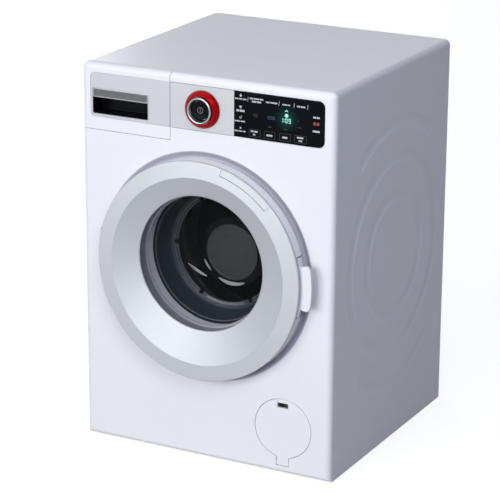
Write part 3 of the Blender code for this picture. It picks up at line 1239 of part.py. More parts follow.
def drum():
    """Black drum: a deep ring-shaped bowl round a raised hub, with three swept lifters."""
    wall = DRUM_WALL
    rise = HUB_FACE
    lower = DRUM_END - wall
    inner = DRUM_RADIUS - wall
    roll = (DRUM_RADIUS - DRUM_MOUTH_RADIUS) / 4
    bowl_middle = (inner + HUB_FOOT_RADIUS) / 2
    bowl_half = (inner - HUB_FOOT_RADIUS) / 2
    bowl_depth = bowl_half * 3 / 4
    inside = [(DRUM_MOUTH_RADIUS + roll, DRUM_START), (DRUM_MOUTH_RADIUS, DRUM_START + roll / 2)]
    inside += [(inner - roll, DRUM_START + roll), (inner, DRUM_START + 2 * roll)]
    steps = DRUM_BOWL_STEPS
    for i in range(steps + 1):
        turn = math.pi * i / steps
        inside.append((bowl_middle + bowl_half * math.cos(turn),
                       lower - bowl_depth * (1 - math.sin(turn))))
    inside += [(HUB_TOP_RADIUS + wall, rise + wall), (HUB_TOP_RADIUS, rise), (0, rise)]
    outside = [(DRUM_RADIUS, DRUM_START + 2 * roll)]
    for i in range(steps + 1):
        turn = math.pi * i / steps
        outside.append((bowl_middle + (bowl_half + wall) * math.cos(turn),
                        DRUM_END - bowl_depth * (1 - math.sin(turn))))
    shaft_bore = SHAFT_RADIUS + GAP
    outside += [(HUB_TOP_RADIUS, rise + 2 * wall), (HUB_BOSS_RADIUS, rise + 2 * wall),
                (HUB_BOSS_RADIUS, DRUM_END), (shaft_bore, DRUM_END), (shaft_bore, SHAFT_START - GAP),
                (0, SHAFT_START - GAP)]
    profile = inside[::-1] + outside
    shell = as_mesh(turned("drum", profile, 0, DOOR_Z, steps=DRUM_STEPS, ring=False), BLACK)
    for number in range(LIFTERS):
        add(shell, lifter(number))
    return shell


def lifter(number):
    """A swept paddle on the drum's wall, lofted along an arc from the wall towards the hub."""
    shape = bmesh.new()
    middle = TURN * number / LIFTERS + TURN / 12
    loops = []
    for reach, lean, trail in zip(LIFTER_REACH_SHARES, LIFTER_LEAN_SHARES, LIFTER_TRAIL_SHARES):
        radius = reach * (DRUM_RADIUS - DRUM_WALL / 2)
        loop = []
        for turn, share in ((-lean, 0), (lean, 0), (lean + trail, 1), (-lean + trail, 1)):
            shrink = (1 - reach) * (LIFTER_END - LIFTER_START)
            low = LIFTER_START + shrink
            high = LIFTER_END - shrink
            depth = low + share * (high - low)
            angle = middle + turn + share * LIFTER_SWEEP
            loop.append(shape.verts.new(at(radius * math.cos(angle), depth,
                                           DOOR_Z + radius * math.sin(angle))))
        loops.append(loop)
    for near, far in zip(loops, loops[1:]):
        for i in range(4):
            j = (i + 1) % 4
            shape.faces.new((near[i], near[j], far[j], far[i]))
    shape.faces.new(loops[0])
    shape.faces.new(loops[-1])
    bmesh.ops.recalc_face_normals(shape, faces=shape.faces)
    return from_bmesh(f"lifter_{number}", shape)


def hub_cap():
    """Grey disc on the hub, with a low rim around a plain middle."""
    back = HUB_FACE - GAP
    front = back - HUB_CAP_THICKNESS
    low = HUB_CAP_RIM / 4
    rim = HUB_CAP_RADIUS - HUB_CAP_RIM
    profile = [(0, front + low), (rim - low, front + low), (rim, front), (HUB_CAP_RADIUS - low, front),
               (HUB_CAP_RADIUS, front + low), (HUB_CAP_RADIUS, back), (0, back)]
    return turned("hub_cap", profile, 0, DOOR_Z, CHARCOAL, steps=24, ring=False)


def drum_shaft():
    return rod("drum_shaft", SHAFT_RADIUS, at(0, SHAFT_START, DOOR_Z), at(0, SHAFT_END, DOOR_Z),
               STEEL, sides=16)


def shaft_bush():
    """Flanged bush pressed into the tub's boss."""
    front = TUB_END - 2 * BUSH_BOSS_WALL
    bore = SHAFT_RADIUS + GAP
    back = TUB_END + GAP
    profile = [(bore, front), (BUSH_RADIUS, front), (BUSH_RADIUS, back), (BUSH_FLANGE_RADIUS, back),
               (BUSH_FLANGE_RADIUS, back + BUSH_FLANGE), (bore, back + BUSH_FLANGE)]
    return turned("shaft_bush", profile, 0, DOOR_Z, BRASS, steps=16)


def gear_outline(teeth, phase):
    """Straight-flanked teeth, centred so that one tooth points along the phase angle."""
    pitch = GEAR_MODULE * teeth / 2
    tip = pitch + GEAR_MODULE * TOOTH_ADDENDUM_SHARE
    root = pitch - GEAR_MODULE * TOOTH_DEDENDUM_SHARE
    step = TURN / teeth
    outline = []
    for i in range(teeth):
        middle = phase + step * i
        for radius, share in ((root, -TOOTH_ROOT_SHARE), (tip, -TOOTH_TIP_SHARE),
                              (tip, TOOTH_TIP_SHARE), (root, TOOTH_ROOT_SHARE)):
            angle = middle + share * step / 2
            outline.append((radius * math.cos(angle), radius * math.sin(angle)))
    return outline


def idler_place():
    reach = GEAR_MODULE * (DRUM_TEETH + IDLER_SMALL_TEETH) / 2 + MESH_CLEARANCE
    return (reach * math.cos(IDLER_DIRECTION), DOOR_Z + reach * math.sin(IDLER_DIRECTION))


def pinion_place():
    reach = GEAR_MODULE * (IDLER_BIG_TEETH + PINION_TEETH) / 2 + MESH_CLEARANCE
    x, z = idler_place()
    return (x + reach * math.cos(PINION_DIRECTION), z + reach * math.sin(PINION_DIRECTION))


def facing_gap(direction, teeth):
    """Phase that turns a gap between two teeth back along a direction."""
    return direction + TURN / 2 + TURN / teeth / 2


def gear_spans():
    first = (GEAR_START, GEAR_START + GEAR_THICKNESS)
    second_start = first[1] + GEAR_AXIAL_GAP
    return first, (second_start, second_start + GEAR_THICKNESS)


def drum_gear():
    """Large gear on the drum's shaft, with round lightening holes."""
    first, second = gear_spans()
    gear = flat_shape("drum_gear", gear_outline(DRUM_TEETH, IDLER_DIRECTION), first, ACETAL, (0, DOOR_Z))
    cut(gear, rod("drum_gear_bore", SHAFT_RADIUS + GAP, at(0, first[0] - OVERRUN, DOOR_Z),
                  at(0, first[1] + OVERRUN, DOOR_Z), sides=16))
    radius = GEAR_MODULE * DRUM_TEETH / 2
    for number in range(DRUM_GEAR_LIGHTENING):
        angle = TURN * number / DRUM_GEAR_LIGHTENING
        x = radius * math.cos(angle) * 3 / 5
        z = DOOR_Z + radius * math.sin(angle) * 3 / 5
        cut(gear, rod(f"gear_hole_{number}", radius * DRUM_GEAR_HOLE_SHARE * 2 / 3,
                      at(x, first[0] - OVERRUN, z), at(x, first[1] + OVERRUN, z), sides=10))
    return gear


def idler_gear():
    """Compound gear: small teeth in the drum gear, big teeth for the motor."""
    first, second = gear_spans()
    place_at = idler_place()
    big = gear_outline(IDLER_BIG_TEETH, PINION_DIRECTION)
    small = gear_outline(IDLER_SMALL_TEETH, facing_gap(IDLER_DIRECTION, IDLER_SMALL_TEETH))
    gear = flat_shape("idler_gear", big, second, ACETAL, place_at)
    add(gear, flat_shape("idler_small", small, (first[0], second[0] + SINK), centre=place_at))
    return cut(gear, rod("idler_bore", IDLER_BORE, at(place_at[0], first[0] - OVERRUN, place_at[1]),
                         at(place_at[0], second[1] + OVERRUN, place_at[1]), sides=12))


def motor_pinion():
    second = gear_spans()[1]
    place_at = pinion_place()
    outline = gear_outline(PINION_TEETH, facing_gap(PINION_DIRECTION, PINION_TEETH))
    gear = flat_shape("motor_pinion", outline, second, BRASS, place_at)
    return cut(gear, rod("pinion_bore", MOTOR_SHAFT_RADIUS + GAP,
                         at(place_at[0], second[0] - OVERRUN, place_at[1]),
                         at(place_at[0], second[1] + OVERRUN, place_at[1]), sides=10))


def idler_pin():
    x, z = idler_place()
    first, second = gear_spans()
    return rod("idler_pin", IDLER_PIN_RADIUS, at(x, first[0] - GEAR_AXIAL_GAP, z),
               at(x, second[1] + GEAR_AXIAL_GAP + GEAR_PLATE_THICKNESS, z), STEEL, sides=12)


def post_places():
    return [(GEAR_POST_AT_RADIUS * math.cos(a), DOOR_Z + GEAR_POST_AT_RADIUS * math.sin(a))
            for a in GEAR_POST_ANGLES]


def gear_plate():
    """Plate on four posts that carries the motor, the idler pin and the shaft's end."""
    plate_front = gear_spans()[1][1] + GEAR_AXIAL_GAP
    plate_back = plate_front + GEAR_PLATE_THICKNESS
    pinion_x, pinion_z = pinion_place()
    reach = GEAR_POST_AT_RADIUS + GEAR_POST_RADIUS + GEAR_PLATE_MARGIN
    outline = rounded_box_outline((-reach, pinion_x + MOTOR_RADIUS + GEAR_PLATE_MARGIN),
                                  (DOOR_Z - reach, DOOR_Z + reach), (GEAR_PLATE_MARGIN,) * 4)
    plate = flat_shape("gear_plate", outline, (plate_front, plate_back), CHARCOAL)
    for number, (x, z) in enumerate(post_places()):
        add(plate, rod(f"gear_post_{number}", GEAR_POST_RADIUS, at(x, TUB_END + GAP, z),
                       at(x, plate_front + SINK, z), sides=12))
    cut(plate, rod("plate_shaft_hole", SHAFT_RADIUS + GAP, at(0, plate_front - OVERRUN, DOOR_Z),
                   at(0, plate_back + OVERRUN, DOOR_Z), sides=12))
    x, z = idler_place()
    cut(plate, rod("plate_pin_hole", IDLER_PIN_RADIUS + GAP, at(x, plate_front - OVERRUN, z),
                   at(x, plate_back + OVERRUN, z), sides=12))
    cut(plate, rod("plate_motor_hole", MOTOR_NOSE_RADIUS + GAP,
                   at(pinion_x, plate_front - OVERRUN, pinion_z),
                   at(pinion_x, plate_back + OVERRUN, pinion_z), sides=16))
    return plate


def motor():
    """Small can motor with two flats, its nose in the gear plate and its shaft in the pinion."""
    front = gear_spans()[1][1] + GEAR_AXIAL_GAP + GEAR_PLATE_THICKNESS + GAP
    x, z = pinion_place()
    can = rod("motor", MOTOR_RADIUS, at(x, front, z), at(x, front + MOTOR_LENGTH, z), STEEL, sides=20)
    for side in (-1, 1):
        cut(can, block(f"motor_flat_{side}", (x - 2 * MOTOR_RADIUS, x + 2 * MOTOR_RADIUS),
                       (0, front + MOTOR_LENGTH + OVERRUN),
                       sorted((z + side * MOTOR_FLAT, z + side * 2 * MOTOR_RADIUS))))
    seat = at(x, front + SINK, z)
    add(can, rod("motor_nose", MOTOR_NOSE_RADIUS, at(x, front - MOTOR_NOSE, z), seat, sides=16))
    add(can, rod("motor_spindle", MOTOR_SHAFT_RADIUS, at(x, gear_spans()[1][0], z), seat, sides=10))
    return can


def battery_box():
    """Open-backed box for four cells, behind the rear cover."""
    xs, zs = battery_opening()
    wall = BATTERY_BOX_WALL
    back = COVER_FRONT - GAP
    room = back - BATTERY_COVER_LEDGE - 2 * CELL_RADIUS - CELL_GAP
    box = block("battery_box", (xs[0] - wall, xs[1] + wall), (room - wall, back),
                (zs[0] - wall, zs[1] + wall), CHARCOAL)
    return cut(box, block("battery_room", xs, (room, back + OVERRUN), zs))


def cells():
    """Four cells in two rows, tips turned alternately."""
    back = COVER_FRONT - GAP - BATTERY_COVER_LEDGE
    depth = back - CELL_RADIUS - GAP
    pitch_x = CELL_LENGTH + CELL_TIP + CELL_END_ROOM
    pitch_z = 2 * CELL_RADIUS + CELL_GAP
    made = []
    for row in range(CELL_ROWS):
        z = BATTERY_BOX_LOW + CELL_GAP + CELL_RADIUS + row * pitch_z
        facing = 1 if row % 2 == 0 else -1
        for column in range(CELL_COLUMNS):
            middle = (column - (CELL_COLUMNS - 1) / 2) * pitch_x
            start = at(middle - facing * CELL_LENGTH / 2, depth, z)
            end = at(middle + facing * CELL_LENGTH / 2, depth, z)
            cell = rod(f"cell_{len(made) + 1}", CELL_RADIUS, start, end, CELL_COAT, sides=16)
            tip = rod(f"cell_tip_{len(made)}", CELL_TIP_RADIUS, end - Vector((facing * SINK, 0, 0)),
                      end + Vector((facing * CELL_TIP, 0, 0)), sides=8)
            made.append(add(cell, tip))
    return made


def battery_cover():
    """Flush cover of the battery opening, with two tabs below and one screw above."""
    xs, zs = battery_opening()
    cover = block("battery_cover", (xs[0] + GAP, xs[1] - GAP),
                  (COVER_BACK - BATTERY_COVER_THICKNESS, COVER_BACK), (zs[0] + GAP, zs[1] - GAP), WHITE)
    return cover


def speaker():
    """Loudspeaker behind the rear grille."""
    back = COVER_FRONT - GAP
    cone = SPEAKER_RADIUS * 3 / 4
    rim = SPEAKER_RADIUS - WALL / 2
    magnet = SPEAKER_RADIUS / 2
    front = back - SPEAKER_DEPTH
    profile = [(0, front), (magnet, front), (magnet, front + SPEAKER_DEPTH / 2), (cone, back - WALL),
               (SPEAKER_RADIUS, back - WALL), (SPEAKER_RADIUS, back), (rim, back),
               (cone / 2, back - SPEAKER_DEPTH / 3), (0, back - SPEAKER_DEPTH / 3)]
    return turned("speaker", profile, SPEAKER_X, SPEAKER_Z, CHARCOAL, steps=20, ring=False)


def rear_screws():
    """Screws through the rear cover into the cabinet's columns."""
    made = []
    for number, (x, z) in enumerate(screw_columns()):
        head = COVER_BACK
        seat = head - SCREW_HEAD_HEIGHT + GAP
        end = CABINET_END - REAR_LIP_HEIGHT - SCREW_LENGTH + RUNNING_GAP
        body = rod(f"rear_screw_{number + 1}", SCREW_HEAD_RADIUS, at(x, seat, z), at(x, head, z), STEEL,
                   sides=10)
        made.append(add(body, rod(f"rear_shank_{number}", SCREW_SHANK_RADIUS, at(x, end, z),
                                  at(x, seat + SINK, z), sides=8)))
    return made


def body_frame(name, point):
    """An empty on a joint's axis, which carries the pieces of one moving body."""
    frame = bpy.data.objects.new(name, None)
    frame.location = point
    part.objects.link(frame)
    return frame


def carry(frame, *pieces):
    bpy.context.view_layer.update()
    for piece in pieces:
        piece.parent = frame
        piece.matrix_parent_inverse = frame.matrix_world.inverted()


def main():
    clear_scene()
    housing()
    rear_cover()
    base_plate()
    feet()
    fascia()
    display_window()
    readout()
    dial_ring()
    dial_switch()
    control_board()
    drawer_chute()
    door_catch()
    door_seal()
    tub()
    shaft_bush()
    idler_pin()
    gear_plate()
    motor()
    battery_box()
    cells()
    battery_cover()
    speaker()
    rear_screws()

    dial = programme_dial()
    carry(body_frame("dial_axis", at(DIAL_X, 0, DIAL_Z)), dial, start_button())
    drawer = [drawer_front(), drawer_label(), grip_cup(), grip_trim(), drawer_tray()]
    carry(body_frame("drawer_slide", at((TRAY_LEFT + TRAY_RIGHT) / 2, 0, TRAY_LOW)), *drawer)
    door = body_frame("door_axis", at(HINGE_X, -HINGE_HEIGHT, DOOR_Z))
    carry(door, door_ring(), door_frame(), door_window(), hinge_pin(), handle_pin())
    handle = body_frame("handle_axis", at(HANDLE_PIVOT_X, -HANDLE_PIVOT_HEIGHT, DOOR_Z))
    carry(handle, door_handle())
    carry(door, handle)
    carry(body_frame("flap_axis", at(FLAP_X, FLAP_PIVOT_DEPTH, FLAP_PIVOT_Z)), service_flap())
    carry(body_frame("drum_axis", at(0, 0, DOOR_Z)), drum(), hub_cap(), drum_shaft(), drum_gear())
    idler_x, idler_z = idler_place()
    carry(body_frame("idler_axis", at(idler_x, 0, idler_z)), idler_gear())
    pinion_x, pinion_z = pinion_place()
    carry(body_frame("pinion_axis", at(pinion_x, 0, pinion_z)), motor_pinion())


main()
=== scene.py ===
# %% [markdown]
# A toy washing machine for a play kitchen, dressed for its picture. The CAD frame already
# holds every piece at its real size. This script gives the pieces their finish, and builds
# again those whose roundings and small forms the plain solids don't have.
# The front of the machine looks towards minus Y, and Z points up.

import json
import math

import bmesh
import bpy
from mathutils import Matrix, Vector


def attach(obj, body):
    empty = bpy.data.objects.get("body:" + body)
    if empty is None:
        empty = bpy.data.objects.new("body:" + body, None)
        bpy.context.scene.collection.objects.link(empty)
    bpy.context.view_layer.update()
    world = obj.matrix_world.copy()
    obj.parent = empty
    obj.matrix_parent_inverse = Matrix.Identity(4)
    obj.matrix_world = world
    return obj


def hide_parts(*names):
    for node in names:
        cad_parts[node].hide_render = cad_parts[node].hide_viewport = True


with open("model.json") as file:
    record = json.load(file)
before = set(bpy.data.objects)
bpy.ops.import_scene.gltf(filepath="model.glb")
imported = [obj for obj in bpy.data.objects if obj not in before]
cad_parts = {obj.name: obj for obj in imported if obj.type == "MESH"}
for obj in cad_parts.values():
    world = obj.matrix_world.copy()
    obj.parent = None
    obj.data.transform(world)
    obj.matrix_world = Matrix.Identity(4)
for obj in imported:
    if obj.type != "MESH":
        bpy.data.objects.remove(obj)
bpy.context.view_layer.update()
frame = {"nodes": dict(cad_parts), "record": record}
nodes = frame["nodes"]
print("nodes in the frame:", len(nodes))

# %% [markdown]
# Sizes are written in millimetres, as on a drawing, and turned into metres in one place.
# Most shapes are given by how far they lie behind the front panel, so one helper turns such
# a depth into a world point.

# %% Units and the front panel
MM = 0.001
TURN = 2 * math.pi
FRONT = -81.5 * MM


def at(x, depth, z):
    """World point at a depth behind the front panel, all in millimetres."""
    return Vector((x * MM, FRONT + depth * MM, z * MM))


print("front panel at y =", FRONT)

# %% [markdown]
# A catalogue picture is taken with a long lens, which keeps upright edges nearly parallel.
# The camera stands right of the machine and above it. Its place is given by two angles and a
# small roll, so the picture can be set up again at any distance.

# %% Camera
CAMERA_PLACE = (675.85, -1213.51, 591.43)
CAMERA_AROUND = math.radians(27.928)
CAMERA_UP = math.radians(17.801)
CAMERA_ROLL = math.radians(0.325)
CAMERA_LENS = 162.77
SENSOR_WIDTH = 36

ahead = Vector((-math.sin(CAMERA_AROUND) * math.cos(CAMERA_UP),
                math.cos(CAMERA_AROUND) * math.cos(CAMERA_UP), -math.sin(CAMERA_UP)))
level_right = Vector((math.cos(CAMERA_AROUND), math.sin(CAMERA_AROUND), 0))
level_up = level_right.cross(ahead)
right = level_right * math.cos(CAMERA_ROLL) + level_up * math.sin(CAMERA_ROLL)
up = level_up * math.cos(CAMERA_ROLL) - level_right * math.sin(CAMERA_ROLL)
turn = Matrix((right, up, -ahead)).transposed().to_4x4()

camera_data = bpy.data.cameras.new("catalogue_camera")
camera_data.lens = CAMERA_LENS
camera_data.sensor_width = SENSOR_WIDTH
camera = bpy.data.objects.new("catalogue_camera", camera_data)
camera.matrix_world = Matrix.Translation(at(*CAMERA_PLACE)) @ turn
bpy.context.scene.collection.objects.link(camera)
bpy.context.scene.camera = camera
print("camera at", [round(v, 3) for v in camera.location])

# %% [markdown]
# Materials and the world are node trees. Two small helpers add the nodes that are used most:
# a sum on numbers, and a mix of two colours.

# %% Node helpers


def math_node(tree, operation, *values):
    """A Math node. Each value is a plain number or the output of another node."""
    made = tree.nodes.new("ShaderNodeMath")
    made.operation = operation
    for socket, value in zip(made.inputs, values):
        if isinstance(value, bpy.types.NodeSocket):
            tree.links.new(value, socket)
        else:
            socket.default_value = value
    return made.outputs[0]


def colour_mix(tree, share, low, high):
    """Mixes two colours by the output of another node that runs from 0 to 1."""
    made = tree.nodes.new("ShaderNodeMix")
    made.data_type = "RGBA"
    made.inputs["A"].default_value = low
    made.inputs["B"].default_value = high
    tree.links.new(share, made.inputs["Factor"])
    return made.outputs["Result"]


print("node helpers ready")

# %% [markdown]
# The picture is lit like a product shot in a white tent. The world gives an even, dim light
# to every side. The camera, and what it sees in gloss and through glass, meets a white room
# instead, which Light Path makes without lighting the machine more. A ray that has already
# left a matt surface doesn't count, or the drum would be lit by white through the window.

# %% World
DIM_ROOM = (0.03, 0.04, 0.065, 1)
WHITE_ROOM = (1, 1, 1, 1)


def in_view(tree):
    """A 0 or 1 value: whether the camera sees this ray, also by gloss or through glass."""
    path = tree.nodes.new("ShaderNodeLightPath")
    seen = path.outputs["Is Camera Ray"]
    for other in ("Is Glossy Ray", "Is Transmission Ray"):
        seen = math_node(tree, "MAXIMUM", seen, path.outputs[other])
    unscattered = math_node(tree, "LESS_THAN", path.outputs["Diffuse Depth"], 0.5)
    return math_node(tree, "MULTIPLY", seen, unscattered)


scene = bpy.context.scene
scene.view_settings.view_transform = "Standard"
world = bpy.data.worlds.new("white_tent")
world.use_nodes = True
scene.world = world
tree = world.node_tree
background = tree.nodes["Background"]
tree.links.new(colour_mix(tree, in_view(tree), DIM_ROOM, WHITE_ROOM), background.inputs["Color"])
background.inputs["Strength"].default_value = 1.0
print("world:", world.name)

# %% [markdown]
# Four square soft lamps shape the machine. A large key lamp in front, at the left, makes the
# front the brightest face, and one overhead lights the top. A small, slightly blue fill lamp
# stands at the front right and high. The last one lies low behind the machine at the left.

# %% Lamps
LOOK_AT = (0, 60, 130)
PLAIN = (1, 1, 1)
COOL = (0.90, 0.955, 1.12)
LAMPS = {"key_lamp": ((-460, -2000, 520), 1.6, 40, PLAIN),
         "top_lamp": ((-100, -350, 1500), 1.0, 4.0, PLAIN),
         "fill_lamp": ((680, -820, 990), 0.6, 6.8, COOL),
         "back_lamp": ((-1500, 1250, 150), 1.2, 20, PLAIN)}


def lamp(name, place, side, power, colour):
    """A soft lamp that looks at the machine: place in millimetres, side in metres, watts."""
    data = bpy.data.lights.new(name, "AREA")
    data.shape = "SQUARE"
    data.size = side
    data.energy = power
    data.color = colour
    obj = bpy.data.objects.new(name, data)
    obj.location = at(*place)
    look = at(*LOOK_AT) - obj.location
    obj.rotation_euler = look.to_track_quat("-Z", "Y").to_euler()
    scene.collection.objects.link(obj)


for name, numbers in LAMPS.items():
    lamp(name, *numbers)
print("lamps:", *LAMPS)

# %% [markdown]
# The floor is one large pale sheet. For the camera it gets a little light of its own, so that
# it reads as white paper, and the machine's soft shadow still shows on it.

# %% Floor
FLOOR_HALF = 6.0
FLOOR_COLOUR = (0.42, 0.42, 0.43, 1)
FLOOR_ROUGH = 0.9
FLOOR_GLOW = 0.78

sheet = bmesh.new()
bmesh.ops.create_grid(sheet, x_segments=1, y_segments=1, size=FLOOR_HALF)
floor_mesh = bpy.data.meshes.new("paper_floor")
sheet.to_mesh(floor_mesh)
sheet.free()
floor = bpy.data.objects.new("paper_floor", floor_mesh)
scene.collection.objects.link(floor)
paper = bpy.data.materials.new("floor_paper")
paper.use_nodes = True
tree = paper.node_tree
shader = tree.nodes["Principled BSDF"]
shader.inputs["Base Color"].default_value = FLOOR_COLOUR
shader.inputs["Roughness"].default_value = FLOOR_ROUGH
shader.inputs["Emission Color"].default_value = (1, 1, 1, 1)
tree.links.new(math_node(tree, "MULTIPLY", in_view(tree), FLOOR_GLOW),
               shader.inputs["Emission Strength"])
floor_mesh.materials.append(paper)
print("floor reaches", FLOOR_HALF, "m each way")

# %% [markdown]
# A moulded plastic is never one flat colour. It has a faint cloudiness, its shine varies a
# little from place to place, and its skin is finely pebbled by the mould. All three come from
# noise textures on Object coordinates, which stay with the piece when it moves. Noise values
# crowd around their middle, so they are spread before use.

# %% Noise helpers
NOISE_DETAIL = 3.0
NOISE_RANGE = (0.3, 0.7)


def noise(tree, scale, stretch):
    """A noise texture on Object coordinates, with a given number of cells per metre."""
    where = tree.nodes.new("ShaderNodeTexCoord")
    mapping = tree.nodes.new("ShaderNodeMapping")
    mapping.inputs["Scale"].default_value = stretch
    made = tree.nodes.new("ShaderNodeTexNoise")
    made.inputs["Scale"].default_value = scale
    made.inputs["Detail"].default_value = NOISE_DETAIL
    tree.links.new(where.outputs["Object"], mapping.inputs["Vector"])
    tree.links.new(mapping.outputs["Vector"], made.inputs["Vector"])
    return made.outputs["Fac"]


def spread(tree, value, low, high):
    """Maps a noise value to a range."""
    made = tree.nodes.new("ShaderNodeMapRange")
    made.inputs["From Min"].default_value = NOISE_RANGE[0]
    made.inputs["From Max"].default_value = NOISE_RANGE[1]
    made.inputs["To Min"].default_value = low
    made.inputs["To Max"].default_value = high
    tree.links.new(value, made.inputs["Value"])
    return made.outputs["Result"]


print("noise helpers ready")

# %% [markdown]
# One helper makes every finish, and each plastic differs by its numbers only: how strong the
# clouds are, how many grains there are per metre, and how high the grain stands, in
# millimetres. The shine varies in patches four times as large as the grain.

# %% Helper for finishes
CLOUDS = 45
PATCH = 4


def finish(name, colour, rough, metal=0.0, cloud=0.03, grain=900, height=0.004,
           rough_spread=0.04, stretch=(1, 1, 1), **sockets):
    """A procedural finish: clouded colour, varied shine and a fine grain."""
    made = bpy.data.materials.new(name)
    made.use_nodes = True
    tree = made.node_tree
    shader = tree.nodes["Principled BSDF"]
    dark = (*(c * (1 - cloud) for c in colour), 1)
    light = (*(min(1, c * (1 + cloud)) for c in colour), 1)
    clouds = spread(tree, noise(tree, CLOUDS, stretch), 0, 1)
    tree.links.new(colour_mix(tree, clouds, dark, light), shader.inputs["Base Color"])
    speck = noise(tree, grain / PATCH, stretch)
    tree.links.new(spread(tree, speck, rough - rough_spread, rough + rough_spread),
                   shader.inputs["Roughness"])
    bump = tree.nodes.new("ShaderNodeBump")
    bump.inputs["Strength"].default_value = 1.0
    bump.inputs["Distance"].default_value = height * MM
    tree.links.new(noise(tree, grain, stretch), bump.inputs["Height"])
    tree.links.new(bump.outputs["Normal"], shader.inputs["Normal"])
    shader.inputs["Metallic"].default_value = metal
    for socket, value in sockets.items():
        shader.inputs[socket.replace("_", " ")].default_value = value
    return made


print("finish helper ready")

# %% [markdown]
# These are the finishes of the machine. The white is slightly cool and satin. The door's face
# is a silver paint over plastic. The fascia is a brushed foil, so its grain is stretched
# sideways. Rubber is rougher, and chrome plating almost smooth.

# %% Finishes
WHITE = finish("white_plastic", (0.78, 0.785, 0.81), 0.30, cloud=0.006, grain=700, height=0.0012,
               rough_spread=0.008, Specular_IOR_Level=0.2)
SILVER = finish("silver_paint", (0.42, 0.435, 0.455), 0.42, metal=0.3, cloud=0.008, grain=2600,
                height=0.0015, rough_spread=0.04)
BRUSHED = finish("brushed_foil", (0.455, 0.465, 0.485), 0.42, metal=0.3, cloud=0.02, grain=1500,
                 height=0.002, rough_spread=0.06, stretch=(0.04, 1, 1))
GLOSS = finish("black_gloss", (0.003, 0.004, 0.006), 0.10, cloud=0.2, grain=500, height=0.001,
               rough_spread=0.02, Specular_IOR_Level=0.035)
BLACK = finish("black_plastic", (0.004, 0.005, 0.007), 0.24, cloud=0.15, grain=1100, height=0.002,
               Specular_IOR_Level=0.05)
DRUM_BLACK = finish("glossy_drum_black", (0.002, 0.0028, 0.0045), 0.07, cloud=0.15, grain=300,
                    height=0.0006, rough_spread=0.01, Specular_IOR_Level=0.05)
CHARCOAL = finish("charcoal_plastic", (0.028, 0.029, 0.033), 0.38, cloud=0.08, grain=1300,
                  height=0.003, Specular_IOR_Level=0.3)
SEAL = finish("seal_rubber", (0.027, 0.037, 0.046), 0.40, cloud=0.06, grain=900, height=0.0015,
              rough_spread=0.01, Specular_IOR_Level=0.2)
RED = finish("red_clear", (0.31, 0.0015, 0.003), 0.14, cloud=0.12, grain=300, height=0.002,
             Specular_Tint=(1, 0.04, 0.04, 1))
CHROME = finish("chrome_plate", (0.31, 0.32, 0.335), 0.12, metal=1.0, cloud=0.02, grain=500,
                height=0.001, rough_spread=0.03)
STEEL = finish("steel", (0.5, 0.5, 0.52), 0.30, metal=1.0, cloud=0.05, grain=1400, height=0.004,
               stretch=(1, 0.1, 1))
ACETAL = finish("acetal", (0.75, 0.74, 0.70), 0.42, cloud=0.03, grain=900, height=0.01)
BRASS = finish("brass", (0.65, 0.48, 0.2), 0.28, metal=1.0, cloud=0.06, grain=1500, height=0.003)
GREEN = finish("board_green", (0.02, 0.18, 0.08), 0.35, cloud=0.15, grain=350, height=0.02)
RUBBER = finish("foot_rubber", (0.08, 0.08, 0.08), 0.75, cloud=0.1, grain=1500, height=0.03)
JACKET = finish("cell_jacket", (0.05, 0.12, 0.3), 0.3, metal=0.5, cloud=0.05, grain=1200,
                height=0.002)
CLEAR = finish("clear_plastic", (0.03, 0.035, 0.04), 0.04, cloud=0.05, grain=300, height=0.0004,
               rough_spread=0.01, Alpha=0.07, Specular_IOR_Level=0.1)
FINISHES = {"white_plastic": WHITE, "silver_paint": SILVER, "brushed_foil": BRUSHED,
            "black_gloss": GLOSS, "black_plastic": BLACK, "charcoal_plastic": CHARCOAL,
            "seal_rubber": SEAL, "red_clear": RED, "chrome_plate": CHROME, "steel": STEEL,
            "acetal": ACETAL, "brass": BRASS, "board_green": GREEN, "foot_rubber": RUBBER,
            "cell_jacket": JACKET, "clear_plastic": CLEAR}
for part in frame["record"]["subparts"]:
    mesh = nodes[part["node"]].data
    mesh.materials.clear()
    mesh.materials.append(FINISHES[part["material_slot"]])
print("finishes:", len(FINISHES))

# %% [markdown]
# Pieces that are built again are made from a few points and Blender's mesh operators. This
# helper turns such a mesh into an object, gives it its finish, puts it under an empty for the
# body it moves with, and hides the plain solids it stands for. The Weighted Normal modifier
# keeps large flat faces evenly lit beside small roundings.

# %% Helper for finished pieces
SHARP_ANGLE = math.radians(32)


def piece(shape, name, body, slot, *stands_for, look=None):
    """Makes a bmesh into a shown piece of the machine. look is a finish of its own."""
    mesh = bpy.data.meshes.new(name)
    shape.to_mesh(mesh)
    shape.free()
    mesh.materials.append(look or FINISHES[slot])
    mesh.shade_smooth()
    mesh.set_sharp_from_angle(angle=SHARP_ANGLE)
    obj = bpy.data.objects.new(name, mesh)
    scene.collection.objects.link(obj)
    even = obj.modifiers.new("even_light", "WEIGHTED_NORMAL")
    even.keep_sharp = True
    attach(obj, body)
    if stands_for:
        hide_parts(*stands_for)
    return obj


print("piece helper ready")

# %% [markdown]
# Round pieces are turned, as on a lathe. The corners of half the section are given as radius,
# depth and rounding. The bevel operator rounds the corners of that line, and spin sweeps it
# round. Points on the axis meet in a pole, so doubles are merged, and then the faces are
# turned to point outwards. A part turn starts from a filled section, so its ends are closed.

# %% Helpers for spun shapes
WELD = 0.002 * MM
ROUND_SEGMENTS = 4


def softened(shape, geom, size, segments, affect="EDGES"):
    """Rounds edges, or corners with affect VERTICES, by a size in millimetres."""
    bmesh.ops.bevel(shape, geom=geom, offset=size * MM, offset_type="OFFSET",
                    segments=segments, profile=0.5, affect=affect, material=-1)


